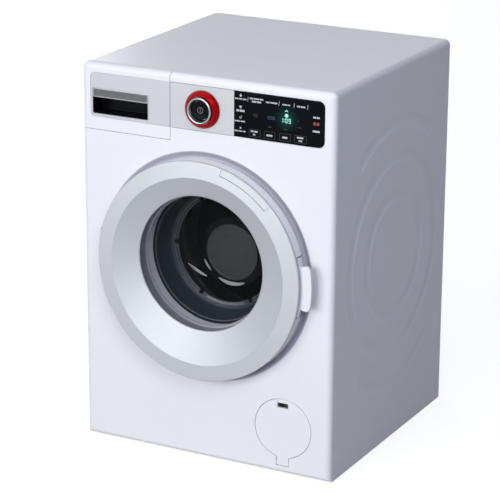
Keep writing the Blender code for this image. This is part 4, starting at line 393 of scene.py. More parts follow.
def rounded_line(corners, closed, place):
    """A line of edges through corners, each cut back by its rounding."""
    shape = bmesh.new()
    verts = [shape.verts.new(place(*corner[:2])) for corner in corners]
    for pair in zip(verts, verts[1:]):
        shape.edges.new(pair)
    if closed:
        shape.edges.new((verts[-1], verts[0]))
    for vert, corner in zip(verts, corners):
        if len(corner) > 2:
            softened(shape, [vert], corner[2], ROUND_SEGMENTS, "VERTICES")
    return shape


def spun(shape, centre, axis, steps, part=None):
    """Spins a section about an axis, fully or through part, a start and a sweep in degrees."""
    if part:
        start, sweep = (math.radians(angle) for angle in part)
        bmesh.ops.edgeloop_fill(shape, edges=shape.edges[:])
        bmesh.ops.rotate(shape, cent=centre, verts=shape.verts,
                         matrix=Matrix.Rotation(start, 3, axis))
        bmesh.ops.spin(shape, geom=shape.faces[:] + shape.edges[:] + shape.verts[:],
                       cent=centre, axis=axis, angle=sweep, steps=steps, use_merge=False,
                       use_duplicate=False)
    else:
        bmesh.ops.spin(shape, geom=shape.verts[:] + shape.edges[:], cent=centre, axis=axis,
                       angle=TURN, steps=steps, use_merge=True, use_duplicate=False)
    bmesh.ops.remove_doubles(shape, verts=shape.verts, dist=WELD)
    bmesh.ops.recalc_face_normals(shape, faces=shape.faces)
    return shape


print("spinning helpers ready")

# %% [markdown]
# Most pieces are turned about a line that runs straight back, as the door and the drum are.
# The feet are turned about an upright line. A part turn gives strips that follow a circle.

# %% Turned and swept shapes
TURN_STEPS = 128
SWEEP_STEPS = 24
BACKWARD = Vector((0, 1, 0))
UPWARD = Vector((0, 0, 1))


def turned(corners, x, z, steps=TURN_STEPS, closed=True):
    """A turned shape about a line through x, z that runs from front to back."""
    line = rounded_line(corners, closed, lambda radius, depth: at(x + radius, depth, z))
    return spun(line, at(x, 0, z), BACKWARD, steps)


def upright_turned(corners, x, depth, steps):
    """A turned shape about an upright line. Corners are radius, height and rounding."""
    line = rounded_line(corners, False, lambda radius, height: at(x + radius, depth, height))
    return spun(line, at(x, depth, 0), UPWARD, steps)


def swept(corners, z, start, sweep):
    """A section swept along a circle about x = 0 and z. Angles run from +X towards +Z."""
    line = rounded_line(corners, True, lambda radius, depth: at(radius, depth, z))
    return spun(line, at(0, 0, z), -BACKWARD, SWEEP_STEPS, (start, sweep))


print("turning helpers ready")

# %% [markdown]
# Flat pieces are cut from a sheet: an outline, its corners rounded, extruded to its
# thickness. The edge at the front gets a small rounding too, because no moulded edge is
# sharp, and that rounding is what catches the light.

# %% Helper for plates
EDGE_ROUNDS = 3
CORNER_STEPS = 6


def plate(outline, depths, corner=0, edge=0, rims=(0,)):
    """A plate from (x, z) points. corner is one rounding or a list, rims the rounded faces."""
    shape = bmesh.new()
    verts = [shape.verts.new(at(x, depths[0], z)) for x, z in outline]
    shape.faces.new(verts)
    roundings = corner if isinstance(corner, (list, tuple)) else [corner] * len(verts)
    for vert, rounding in zip(verts, roundings):
        if rounding > 0:
            softened(shape, [vert], rounding, CORNER_STEPS, "VERTICES")
    grown = bmesh.ops.extrude_face_region(shape, geom=shape.faces[:])
    moved = [item for item in grown["geom"] if isinstance(item, bmesh.types.BMVert)]
    bmesh.ops.translate(shape, vec=(0, (depths[1] - depths[0]) * MM, 0), verts=moved)
    bmesh.ops.recalc_face_normals(shape, faces=shape.faces)
    if edge > 0:
        levels = [FRONT + depths[i] * MM for i in rims]
        found = [e for e in shape.edges for level in levels
                 if all(abs(v.co.y - level) < WELD for v in e.verts)]
        softened(shape, found, edge, EDGE_ROUNDS)
    return shape


def rectangle(xs, zs):
    return [(xs[0], zs[0]), (xs[1], zs[0]), (xs[1], zs[1]), (xs[0], zs[1])]


print("plate helper ready")

# %% [markdown]
# Blocks and rods start from Blender's own cube and cylinder and are put in place by their
# ends. Pegs are rods that run straight back, for posts and screw holes.

# %% Helpers for blocks and rods


def block(xs, depths, zs, edge=0):
    """A box, with all its edges rounded if edge is given."""
    shape = bmesh.new()
    bmesh.ops.create_cube(shape, size=1)
    low, high = at(xs[0], depths[0], zs[0]), at(xs[1], depths[1], zs[1])
    bmesh.ops.scale(shape, vec=high - low, verts=shape.verts)
    bmesh.ops.translate(shape, vec=(high + low) / 2, verts=shape.verts)
    if edge > 0:
        softened(shape, shape.edges[:], edge, EDGE_ROUNDS)
    return shape


def rod(radius, start, end, sides=32, edge=0):
    """A cylinder between two world points, radius in millimetres."""
    shape = bmesh.new()
    run = end - start
    bmesh.ops.create_cone(shape, cap_ends=True, segments=sides, radius1=radius * MM,
                          radius2=radius * MM, depth=run.length)
    if edge > 0:
        rims = [e for e in shape.edges if abs(e.verts[0].co.z - e.verts[1].co.z) < WELD]
        softened(shape, rims, edge, EDGE_ROUNDS)
    tilt = UPWARD.rotation_difference(run).to_matrix().to_4x4()
    bmesh.ops.transform(shape, matrix=Matrix.Translation((start + end) / 2) @ tilt,
                        verts=shape.verts)
    return shape


def upright_rod(radius, place, zs, sides=32, edge=0):
    """An upright rod. place is its x and depth."""
    return rod(radius, at(*place, zs[0]), at(*place, zs[1]), sides, edge)


def joined(*shapes):
    """Several meshes that don't touch, as one."""
    whole = bmesh.new()
    for shape in shapes:
        mesh = bpy.data.meshes.new("part")
        shape.to_mesh(mesh)
        shape.free()
        whole.from_mesh(mesh)
        bpy.data.meshes.remove(mesh)
    return whole


def pegs(radius, places, depths, sides=32):
    """Rods that run from front to back at (x, z) places, as one mesh."""
    return joined(*[rod(radius, at(x, depths[0], z), at(x, depths[1], z), sides)
                    for x, z in places])


print("block and rod helpers ready")

# %% [markdown]
# Openings are cut with the Boolean modifier, as a milling cutter would. Its result is taken
# at once and the cutters are thrown away, so the finished piece is one plain mesh.

# %% Helper for cutting and joining
OPERATIONS = {"cut": "DIFFERENCE", "add": "UNION", "keep": "INTERSECT"}


def held(name, shape):
    """Puts a mesh on an object for the modifier to work with."""
    mesh = bpy.data.meshes.new(name)
    shape.to_mesh(mesh)
    shape.free()
    obj = bpy.data.objects.new(name, mesh)
    scene.collection.objects.link(obj)
    return obj


def worked(shape, *steps):
    """Applies (operation, cutter mesh) steps to a mesh and returns the new mesh."""
    target = held("work", shape)
    tools = []
    for operation, cutter in steps:
        tools.append(held("tool", cutter))
        change = target.modifiers.new(operation, "BOOLEAN")
        change.operation = OPERATIONS[operation]
        change.object = tools[-1]
        change.solver = "EXACT"
    graph = bpy.context.evaluated_depsgraph_get()
    mesh = bpy.data.meshes.new_from_object(target.evaluated_get(graph))
    result = bmesh.new()
    result.from_mesh(mesh)
    bmesh.ops.remove_doubles(result, verts=result.verts, dist=WELD)
    for obj in [target, *tools]:
        old = obj.data
        bpy.data.objects.remove(obj, do_unlink=True)
        bpy.data.meshes.remove(old)
    bpy.data.meshes.remove(mesh)
    return result


print("cutting helper ready")

# %% [markdown]
# Some shapes are lofted: closed rings of points, bridged one to the next. A cutter with a
# flared mouth is one of them, made of outlines that grow towards the front. It leaves a small
# rounding on the edge of an opening.

# %% Helpers for lofted shapes
FLARE_STEPS = 4
OVER = 1.5


def lofted(rings):
    """A skin through rings of world points, with a flat face at each end."""
    shape = bmesh.new()
    loops = [[shape.verts.new(point) for point in ring] for ring in rings]
    for loop in loops:
        for pair in zip(loop, loop[1:] + loop[:1]):
            shape.edges.new(pair)
    for near, far in zip(loops, loops[1:]):
        both = [e for e in shape.edges
                if set(e.verts) <= set(near) or set(e.verts) <= set(far)]
        bmesh.ops.bridge_loops(shape, edges=both)
    shape.faces.new(loops[0])
    shape.faces.new(loops[-1])
    bmesh.ops.recalc_face_normals(shape, faces=shape.faces)
    return shape


def flared(outline, depth, flare):
    """A cutter from the front. outline(grow) gives its (x, z) points; its mouth flares out."""
    levels = [(flare, -OVER), (flare, 0)]
    for i in range(1, FLARE_STEPS + 1):
        part = TURN / 4 * i / FLARE_STEPS
        levels.append((flare * (1 - math.sin(part)), flare * (1 - math.cos(part))))
    levels.append((0, depth))
    return lofted([[at(x, level, z) for x, z in outline(grow)] for grow, level in levels])


print("lofting helpers ready")

# %% [markdown]
# Outlines with round corners come from arcs of points. The second helper lets each corner
# have its own radius, and can grow the whole outline for a cutter.

# %% Helpers for outlines


def arc(radius, start, end, steps, x=0, z=0):
    """Points along an arc given in degrees, both ends included."""
    angles = [math.radians(start + (end - start) * i / steps) for i in range(steps + 1)]
    return [(x + radius * math.cos(a), z + radius * math.sin(a)) for a in angles]


def soft_rectangle(xs, zs, radii, grow=0, steps=CORNER_STEPS):
    """A rectangle's outline. radii is one radius or four, from low left anticlockwise."""
    if not isinstance(radii, tuple):
        radii = (radii,) * 4
    corners = ((xs[0] - grow, zs[0] - grow, 1, 1, 180), (xs[1] + grow, zs[0] - grow, -1, 1, 270),
               (xs[1] + grow, zs[1] + grow, -1, -1, 0), (xs[0] - grow, zs[1] + grow, 1, -1, 90))
    outline = []
    for (x, z, inward_x, inward_z, start), radius in zip(corners, radii):
        if radius > 0:
            radius += grow
            outline += arc(radius, start, start + 90, steps, x + inward_x * radius,
                           z + inward_z * radius)
        else:
            outline.append((x, z))
    return outline


print("outline helpers ready")

# %% [markdown]
# The rings pressed into the side walls are shallow grooves with soft shoulders. Each full
# ring is a section spun about a line across the cabinet. The part rings above and below are
# the same section spun through a part turn, and they run out softly at both ends.

# %% Side rings
HALF_WIDTH = 92
RING_DEPTH = 92
RING_HEIGHT = 131
RING_BANDS = ((37, 45.5), (62.5, 70.5))
RING_STEPS = 144
ARC_BAND = (86, 94.5)
ARC_HALF_ANGLE = 40
ARC_STEPS = 48
ARC_RAMP = math.radians(5)
GROOVE = 1.15
GROOVE_SLOPE = 2.6
GROOVE_ROUNDING = 1.4
GROOVE_OVER = 0.5
RUN_OUT = GROOVE * 1.15
ACROSS = Vector((1, 0, 0))


def groove_section(inner, outer, side):
    """Half section of a groove cutter: radius from the ring's centre, x, and rounding."""
    half = GROOVE_SLOPE / 2
    reach = half * (1 + 2 * GROOVE_OVER / GROOVE)
    face = side * HALF_WIDTH
    high, low = face + side * GROOVE_OVER, face - side * GROOVE
    return [(inner - reach, high), (outer + reach, high), (outer - half, low, GROOVE_ROUNDING),
            (inner + half, low, GROOVE_ROUNDING)]


def groove(inner, outer, side, part=None):
    """A groove cutter: a full ring, or a part ring from a start through a sweep."""
    middle = at(0, RING_DEPTH, RING_HEIGHT)
    line = rounded_line(groove_section(inner, outer, side), True,
                        lambda radius, x: Vector((x * MM, middle.y, middle.z + radius * MM)))
    shape = spun(line, middle, ACROSS, ARC_STEPS if part else RING_STEPS, part)
    if part:
        half = math.radians(part[1] / 2)
        centre = math.radians(part[0]) + half
        for vert in shape.verts:
            away = vert.co - middle
            off = (math.atan2(-away.y, away.z) - centre + TURN / 2) % TURN - TURN / 2
            share = min(1, max(0, (half - abs(off)) / ARC_RAMP))
            soft = share * share * (3 - 2 * share)
            vert.co.x += side * (1 - soft) * RUN_OUT * MM
    return shape


def side_grooves(side):
    cutters = [groove(inner, outer, side) for inner, outer in RING_BANDS]
    for upright in (0, 180):
        cutters.append(groove(*ARC_BAND, side, (upright - ARC_HALF_ANGLE, 2 * ARC_HALF_ANGLE)))
    return joined(*cutters)


print("side rings at depth", RING_DEPTH, "and height", RING_HEIGHT)

# %% [markdown]
# The housing is one white moulding: front, two sides and top. Its outer form is a block whose
# front, top and upright edges are rounded. The drawer's front starts from the same block.

# %% Outer block
SHELL_BACK = 173.3
SHELL_LOW = 0.8
SHELL_HIGH = 260
SHELL_RADIUS = 4
SHELL_ROUNDS = 8


def shell_block():
    """The cabinet's outer block, rounded on the front, the top and the upright edges."""
    shape = block((-HALF_WIDTH, HALF_WIDTH), (0, SHELL_BACK), (SHELL_LOW, SHELL_HIGH))
    front, top, back = FRONT, SHELL_HIGH * MM, FRONT + SHELL_BACK * MM
    rounded = []
    for edge in shape.edges:
        middle = (edge.verts[0].co + edge.verts[1].co) / 2
        on_back = abs(middle.y - back) < WELD
        if abs(middle.y - front) < WELD or (abs(middle.z - top) < WELD and not on_back):
            rounded.append(edge)
    softened(shape, rounded, SHELL_RADIUS, SHELL_ROUNDS)
    return shape


print("cabinet:", 2 * HALF_WIDTH, "mm wide,", SHELL_HIGH, "mm high")

# %% [markdown]
# Several pieces share the places and outlines of the openings, so these come first. A seam
# of 0.15 mm stays on each side of every part that is let into the front.

# %% Places and outlines on the front
DOOR_Z = 133.5
MOUTH_Z = 137.8
SEAM = 0.15
SEAM_X = -25.8
BAND_XS = (-85.3, 84.2)
BAND_ZS = (224.0, 253.7)
BAND_CORNER = 4
DISPLAY_LEFT = 20.8
DIAL_PLACE = (-2.0, 238.5)
DIAL_HOLE = 4.8
DRAWER_LOW = 215.5
FLAP_PLACE = (57.4, 32.5)
FLAP_RADIUS = 20.4
FLAP_TAB = (52.9, 61.9)
FLAP_PIVOT = (2.2, 8.6)
FLAP_POINTS = 96


def flap_outline(grow):
    """Round flap with a hinge tab at its foot."""
    radius = FLAP_RADIUS + grow
    half = (FLAP_TAB[1] - FLAP_TAB[0]) / 2 + grow
    tab = math.degrees(math.asin(half / radius))
    foot = FLAP_PIVOT[1] - FLAP_PIVOT[0] - grow
    x, z = FLAP_PLACE
    round_part = arc(radius, -90 + tab, 270 - tab, FLAP_POINTS, x, z)
    return round_part + [(x - half, foot), (x + half, foot)]


def flap_rod(radius, over, sides):
    """A rod on the flap's hinge line that reaches past the tab on both sides."""
    return rod(radius, at(FLAP_TAB[0] - over, *FLAP_PIVOT),
               at(FLAP_TAB[1] + over, *FLAP_PIVOT), sides)


def band_outline(grow):
    return soft_rectangle((SEAM_X - OVER, BAND_XS[1] + SEAM),
                          (BAND_ZS[0] - SEAM, BAND_ZS[1] + SEAM),
                          (0, BAND_CORNER, BAND_CORNER, 0), grow)


def notch_outline(grow):
    return rectangle((-HALF_WIDTH - 4, SEAM_X + SEAM + grow),
                     (DRAWER_LOW - SEAM - grow, SHELL_HIGH + 4))


print("door centre at", DOOR_Z, "mm, window centre at", MOUTH_Z, "mm")

# %% [markdown]
# Behind the front the mould adds backings for the drawer, the door and the flap, a collar
# for the seal, posts for the tub and the control board, and columns for the rear screws.

# %% Backings, posts and columns
BACKING = 1.8
DRAWER_BACKING = ((-90, -23.25), (BACKING, 6.9), (212.95, 258))
DOOR_BACKING = ((0, BACKING), (79, BACKING), (79, 5), (0, 5))
COLLAR = ((0, 4.4), (48, 4.4), (48, 11.5, 0.4), (0, 11.5))
FLAP_SOCKET = ((0, BACKING), (22.4, BACKING), (22.4, 14, 0.5), (0, 14))
TAB_SOCKET = ((FLAP_TAB[0] - 5.4, FLAP_TAB[1] + 5.4), (BACKING, 6.8), (4.0, 14.5))
TUB_POSTS = arc(71.5, 45, 315, 3, 0, DOOR_Z)
TUB_POST, TUB_POST_END = 5, 13.4
BOARD_POSTS = [(x, z) for x in (-16.0, 76.0) for z in (227.0, 250.0)]
BOARD_POST, BOARD_POST_END = 2.6, 12.2
COLUMNS = [(side * 85.6, share * SHELL_HIGH) for side in (-1, 1)
           for share in (0.055, 0.5, 0.945)]
COLUMN, COLUMN_DEPTHS = 4.5, (149.3, 169.3)
SCREW_HOLE, SCREW_DEPTHS = 1.55, (160.3, 173)


def backings():
    return [("add", block(*DRAWER_BACKING)),
            ("add", turned(DOOR_BACKING, 0, DOOR_Z, closed=False)),
            ("add", turned(COLLAR, 0, MOUTH_Z, closed=False)),
            ("add", turned(FLAP_SOCKET, *FLAP_PLACE, closed=False)),
            ("add", block(*TAB_SOCKET)),
            ("add", joined(pegs(TUB_POST, TUB_POSTS, (BACKING, TUB_POST_END)),
                           pegs(BOARD_POST, BOARD_POSTS, (BACKING, BOARD_POST_END)))),
            ("add", pegs(COLUMN, COLUMNS, COLUMN_DEPTHS)),
            ("cut", pegs(SCREW_HOLE, COLUMNS, SCREW_DEPTHS, 16))]


print("posts:", len(TUB_POSTS) + len(BOARD_POSTS), "columns:", len(COLUMNS))

# %% [markdown]
# Then come the openings in the front: the drawer's corner and its tray's slot, the catch's
# slot, the shallow pocket of the control band with the dial's hole and the display's room,
# and the flap's socket with the room for its hinge.

# %% Openings in the front
FLARE = 0.2
SMALL_FLARE = 0.15
BAND_FLARE = 0.25
NOTCH_DEPTH = 4.5
TRAY_SLOT = ((-86.1, -31.4), (0, 8.4), (219.4, 250.6))
CATCH_SLOT = ((66.2, 73.6), (1, 7.3), (128, 139))
POCKET_DEPTH = 0.9
BAND_FLOOR = 3.9
DISPLAY_ROOM = ((30, 72), (0, BAND_FLOOR), (228.5, 249.2))
FLAP_GAP = 0.2
FLAP_STEP = 2.1
FLAP_WELL = ((0, 0), (18.6, 0), (18.6, 12, 1), (0, 12))
TAB_ROOM = ((FLAP_TAB[0] - 0.3, FLAP_TAB[1] + 0.3), (-OVER, 4.7), (6.1, 11.1))
PIN_HOLE = 1.3


def openings():
    return [("cut", flared(notch_outline, NOTCH_DEPTH, FLARE)),
            ("cut", block(*TRAY_SLOT)),
            ("cut", block(*CATCH_SLOT)),
            ("cut", flared(band_outline, POCKET_DEPTH, BAND_FLARE)),
            ("cut", pegs(DIAL_HOLE, [DIAL_PLACE], (0, BAND_FLOOR))),
            ("cut", block(*DISPLAY_ROOM)),
            ("cut", flared(lambda grow: flap_outline(grow + FLAP_GAP), FLAP_STEP, SMALL_FLARE)),
            ("cut", turned(FLAP_WELL, *FLAP_PLACE, closed=False)),
            ("cut", block(*TAB_ROOM)),
            ("cut", flap_rod(PIN_HOLE, 3, 16))]


print("pocket of the control band:", POCKET_DEPTH, "mm deep")

# %% [markdown]
# The door stands in a shallow dish with a soft outer slope. Two ears with round eyes rise
# from the dish and hold the door's pin. Behind the window, the mouth opens into the cabinet.

# %% Dish, hinge ears and mouth
DISH = ((0, -OVER), (77.6, -OVER), (77.6, 0), (77.1, 0.15), (76.6, 0.5), (74.3, 2.5, 0.8),
        (0, 2.5))
MOUTH = ((0, -OVER), (46.8, -OVER), (46.8, 2.5), (46.3, 2.65), (46, 3.3), (46, 13), (0, 13))
HINGE = (-74.5, -4.5)
HINGE_ZS = (115.2, 151.8)
EAR_LOWS = (116.7, 145.3)
EAR_HEIGHT = 5
EAR_XS = (-76.5, -72.5)
EYE_RADIUS = 2.2


def hinge_ear(low):
    """An ear with a round eye on the dish floor, for the door's pin."""
    foot = block(EAR_XS, (HINGE[1], 3.0), (low + 0.1, low + EAR_HEIGHT - 0.1), edge=0.3)
    return worked(foot, ("add", upright_rod(EYE_RADIUS, HINGE, (low, low + EAR_HEIGHT), edge=0.3)))


def door_place():
    return [("cut", turned(DISH, 0, DOOR_Z, closed=False)),
            ("add", joined(*[hinge_ear(low) for low in EAR_LOWS])),
            ("cut", upright_rod(PIN_HOLE, HINGE, HINGE_ZS, 16)),
            ("cut", turned(MOUTH, 0, MOUTH_Z, closed=False))]


print("hinge ears at", EAR_LOWS)

# %% [markdown]
# Now the moulding itself. The order follows the mould: the outer block, the hollow, what is
# added behind the front, every opening from the front, the rings in both sides, and last the
# place of the door. The slope of the dish gets a thin liner of its own, darker and cooler than
# the white: painted shade for the door's shade that lies on this slope.

# %% Housing
WALL = 2.4
HOLLOW = ((-89.6, 89.6), (WALL, SHELL_BACK + OVER), (-OVER, SHELL_HIGH - WALL))
LINER = ((77.6, 0.04), (77.05, 0.08, 0.1), (76.5, 0.42, 0.2), (74.35, 2.22, 0.5), (73.2, 2.4),
         (73.2, 2.6), (74.35, 2.6), (77.6, 0.6))
LINER_STEPS = 180
# Painted shade: a darker, cooler white for the dish's slope in the door's shade.
DISH_PAINTED_SHADE = finish("dish_painted_shade", (0.50, 0.50, 0.585), 0.32, cloud=0.006, grain=700,
                   height=0.0012, rough_spread=0.008, Specular_IOR_Level=0.2)

moulding = worked(shell_block(), ("cut", block(*HOLLOW)), *backings(), *openings(),
                  ("cut", side_grooves(1)), ("cut", side_grooves(-1)), *door_place())
shell = piece(moulding, "housing_moulding", "cabinet", "white_plastic", "housing")
piece(turned(LINER, 0, DOOR_Z, LINER_STEPS), "dish_shade_liner", "cabinet", "white_plastic",
      look=DISH_PAINTED_SHADE)
print("housing faces:", len(shell.data.polygons))

# %% [markdown]
# The door's face is a silver ring with two slopes that meet in a ridge. Its window sits a
# little higher than its rim, so after turning, the inner points are lifted by an amount that
# grows from the ridge to the window. The inner slope is one piece, with the window's throat
# behind it.

# %% Door face
DOOR_RADIUS = 73.7
RIDGE_RADIUS = 62.9
RIDGE_DEPTH = -13
RIDGE_BACK = -10.95
WINDOW_RADIUS = 45.2
WINDOW_LIP = 45.75
WINDOW_RISE = 4.3
DOOR_STEPS = 180
FACE_SECTION = ((WINDOW_RADIUS, -6.9, 0.35), (WINDOW_LIP, -7.35, 0.35),
                (RIDGE_RADIUS, RIDGE_DEPTH, 0.05), (RIDGE_RADIUS, RIDGE_BACK), (47.3, -5.5),
                (47.3, 1.6), (44.0, 1.6), (44.0, 1.0), (45.7, 1.0))


def lifted(shape):
    """Lifts the inner points of a door ring towards the window's centre."""
    centre = at(0, 0, DOOR_Z)
    for vert in shape.verts:
        radius = math.hypot(vert.co.x, vert.co.z - centre.z) / MM
        share = (RIDGE_RADIUS - radius) / (RIDGE_RADIUS - WINDOW_LIP)
        vert.co.z += WINDOW_RISE * MM * min(1, max(0, share))
    return shape


face = lifted(turned(FACE_SECTION, 0, DOOR_Z, DOOR_STEPS))
door_face = piece(face, "door_face", "door", "silver_paint", "door_ring")
print("door face:", len(door_face.data.polygons), "faces")

# %% [markdown]
# The outer slope is a second ring, in a lighter silver that paints on the light this slope
# catches from above: a lit copy of the face's silver. At the upper right a strip is let into
# it. The dark line along its inner edge is painted shade in the gap beside the strip. The
# pocket, the strip and the line are all swept along the same part of a circle, and their
# depths follow the slope.

# %% Outer band with its inlay
BAND_SLOPE = (13 - 12.075) / (73.125 - 62.9)
BAND_SECTION = ((RIDGE_RADIUS + 0.02, RIDGE_DEPTH, 0.05), (DOOR_RADIUS, -12.02, 0.7),
                (DOOR_RADIUS, -10, 0.3), (RIDGE_RADIUS + 0.02, RIDGE_BACK))
INLAY_ANGLES = (44.6, 31.0)
INLAY = (69.0, 72.9)
INLAY_ROUNDING = 0.12
INLAY_GAPS = (0.3, 0.12)
END_GAP = 0.2
GAP_SHADE_SINK = (0.12, 0.62)
# Painted light: a lighter copy of the face's silver, for the light this slope catches.
LIT_BAND_SILVER = finish("lit_band_silver", (0.47, 0.487, 0.508), 0.42, metal=0.3, cloud=0.008,
                     grain=2600, height=0.0015, rough_spread=0.04)


def band_depth(radius):
    """Depth of the ring's outer slope at a radius."""
    return RIDGE_DEPTH + (radius - RIDGE_RADIUS) * BAND_SLOPE


inner_floor, outer_floor = band_depth(69), band_depth(73)
pocket_inner, pocket_outer = INLAY[0] - INLAY_GAPS[0], INLAY[1] + INLAY_GAPS[1]
pocket = swept([(pocket_inner, -14), (pocket_outer, -14), (pocket_outer, outer_floor + 0.6),
                (pocket_inner, inner_floor + 0.6)],
               DOOR_Z, INLAY_ANGLES[0] - END_GAP, INLAY_ANGLES[1] + 2 * END_GAP)
band = worked(turned(BAND_SECTION, 0, DOOR_Z, DOOR_STEPS), ("cut", pocket))
piece(band, "door_band", "door", "silver_paint", look=LIT_BAND_SILVER)
inlay = swept([(INLAY[0], band_depth(INLAY[0]), INLAY_ROUNDING),
               (INLAY[1], band_depth(INLAY[1]), INLAY_ROUNDING),
               (INLAY[1], outer_floor + 0.5), (INLAY[0], inner_floor + 0.5)],
              DOOR_Z, *INLAY_ANGLES)
piece(inlay, "door_inlay", "door", "silver_paint", look=LIT_BAND_SILVER)
# Painted shade: a dark strip in the gap along the inlay's inner edge.
line = swept([(radius, band_depth(radius) + sink) for radius, sink in
              zip((pocket_inner, INLAY[0], INLAY[0], pocket_inner),
                  (GAP_SHADE_SINK[0], GAP_SHADE_SINK[0], GAP_SHADE_SINK[1], GAP_SHADE_SINK[1]))],
             DOOR_Z, INLAY_ANGLES[0], INLAY_ANGLES[1] + END_GAP)
piece(line, "inlay_gap_shade", "door", "silver_paint", look=CHARCOAL)
print("inlay:", INLAY[1] - INLAY[0], "mm wide")

# %% [markdown]
# The window's throat lies in shade, and a very thin turned lining paints it a darker grey.

# %% Throat lining
LINING = ((45.07, -6.75, 0.1), (45.19, -6.85), (45.66, 0.95), (45.5, 0.95))
THROAT_PAINTED_SHADE = finish("throat_painted_shade", (0.20, 0.21, 0.235), 0.38, cloud=0.05, grain=1500,
                     height=0.002, Specular_IOR_Level=0.3)
piece(turned(LINING, 0, MOUTH_Z, DOOR_STEPS), "throat_shade_lining", "door", "silver_paint",
      look=THROAT_PAINTED_SHADE)
print("throat lining: 0.15 mm thick")

# %% [markdown]
# Behind the ring sits the door's white back half: a rim, a flat back, the hinge barrel with
# room for the ears, and the opening for the handle with a bearing at each end. A thin shadow
# gap parts it from the ring. A dark strip at the upper end of the handle's opening is painted
# shadow there.

# %% Door frame
FRAME_SECTION = ((71.7, -9.7), (DOOR_RADIUS, -9.7, 0.25), (DOOR_RADIUS, -2.5, 0.6),
                 (47.6, -2.5, 0.3), (47.6, -4.5), (71.7, -4.5))
BARREL_RADIUS = 2.3
BARREL_ZS = (DOOR_Z - 11.5, DOOR_Z + 11.5)
DOOR_PIN_ZS = (116.7, 150.3)
EAR_GAP = 0.3
HANDLE_PIVOT = (69, -5)
HANDLE_PIN = 1.1
HANDLE_PIN_REACH = 22.3
HANDLE_ROOM_HALF = 20.42
BEARING_END = 24.3
SHADOW_STRIP_ZS = (DOOR_Z + 20.02, DOOR_Z + 20.4)


def door_frame():
    ring = lifted(turned(FRAME_SECTION, 0, DOOR_Z, DOOR_STEPS))
    ear_rooms = [block((-80.1, -71.7), (-7.3, OVER), (low - EAR_GAP, low + EAR_HEIGHT + EAR_GAP))
                 for low in EAR_LOWS]
    room_low, room_high = DOOR_Z - HANDLE_ROOM_HALF, DOOR_Z + HANDLE_ROOM_HALF
    bearings = [block((67, 70), (-7, -3.1), zs) for zs in
                ((DOOR_Z - BEARING_END, room_low), (room_high, DOOR_Z + BEARING_END))]
    pin_zs = (DOOR_Z - HANDLE_PIN_REACH, DOOR_Z + HANDLE_PIN_REACH)
    return worked(ring,
                  ("add", upright_rod(BARREL_RADIUS, HINGE, BARREL_ZS, edge=0.3)),
                  ("cut", joined(*ear_rooms)),
                  ("cut", upright_rod(PIN_HOLE, HINGE, DOOR_PIN_ZS, 24)),
                  ("add", joined(*bearings)),
                  ("cut", block((63.45, 75.2), (-11.5, OVER), (room_low, room_high))),
                  ("cut", upright_rod(HANDLE_PIN, HANDLE_PIVOT, pin_zs, 24)))


back_half = piece(door_frame(), "door_back_half", "door", "white_plastic", "door_frame")
# Painted shadow: a dark strip in the top of the handle's opening.
piece(block((64.5, 70.9), (-9.6, -3.0), SHADOW_STRIP_ZS), "handle_gap_shadow", "door", "black_plastic")
print("door frame:", len(back_half.data.polygons), "faces")

# %% [markdown]
# The pane is a clear, shallow dome that lies in the ring's throat.

# %% Window
PANE_RADIUS = 44.9
PANE_BULGE = 2.2
PANE_EDGE = -0.5
PANE_THICK = 1.2
PANE_RINGS = 20
shares = [i / PANE_RINGS for i in range(PANE_RINGS + 1)]
pane_face = [(PANE_RADIUS * share, PANE_EDGE - PANE_BULGE * (1 - share ** 2))
             for share in shares]
pane_back = [(radius, depth + PANE_THICK) for radius, depth in reversed(pane_face)]
piece(turned(pane_face + pane_back, 0, MOUTH_Z, closed=False), "window_pane", "door",
      "clear_plastic", "door_window")
print("pane bulges", PANE_BULGE, "mm")

# %% [markdown]
# The handle is a white bar beside the rim. Fingers go behind it and pull, and its far edge
# turns inwards and frees the catch. The bar ends in two short ramps that reach the rim.

# %% Door handle
GRIP_ANGLE = 11.0
GRIP_SHARE = 0.8
HANDLE_ANGLE = 15.6
HANDLE_REACH = 81
HANDLE_END_REACH = 79.6
HANDLE_INNER = 66.5
HANDLE_ROUNDING = 1.2
SHORT_ARC, LONG_ARC, BODY_ARC = 6, 16, 24
BAR_DEPTHS = (-8.8, -6.2)
BODY_RADII, BODY_DEPTHS = (73.4, 66.8), (-6.8, -3.1)
TONGUE_XS, TONGUE_HALF, TONGUE_DEPTHS = (67.8, 70.2), 4, (8.5, -3.7)
HANDLE_BORE_REACH = 21.3


def handle_bar():
    """The bar: out along one ramp, round the grip, back along the other, and inside."""
    rim = DOOR_RADIUS + 0.3
    tip = math.radians(GRIP_ANGLE)
    x, z = HANDLE_END_REACH * math.cos(tip), HANDLE_END_REACH * math.sin(tip)
    low_ramp = arc(rim, -HANDLE_ANGLE, -GRIP_ANGLE, SHORT_ARC) + [(x, -z)]
    grip = arc(HANDLE_REACH, -GRIP_ANGLE * GRIP_SHARE, GRIP_ANGLE * GRIP_SHARE, LONG_ARC)
    high_ramp = [(x, z)] + arc(rim, GRIP_ANGLE, HANDLE_ANGLE, SHORT_ARC)
    inside = arc(HANDLE_INNER, HANDLE_ANGLE, -HANDLE_ANGLE, LONG_ARC)
    outline = [(x, z + DOOR_Z) for x, z in low_ramp + grip + high_ramp + inside]
    corners = [0.0] * len(outline)
    corners[len(low_ramp) - 1] = corners[len(low_ramp) + len(grip)] = HANDLE_ROUNDING
    return plate(outline, BAR_DEPTHS, corners, edge=0.5, rims=(0, 1))


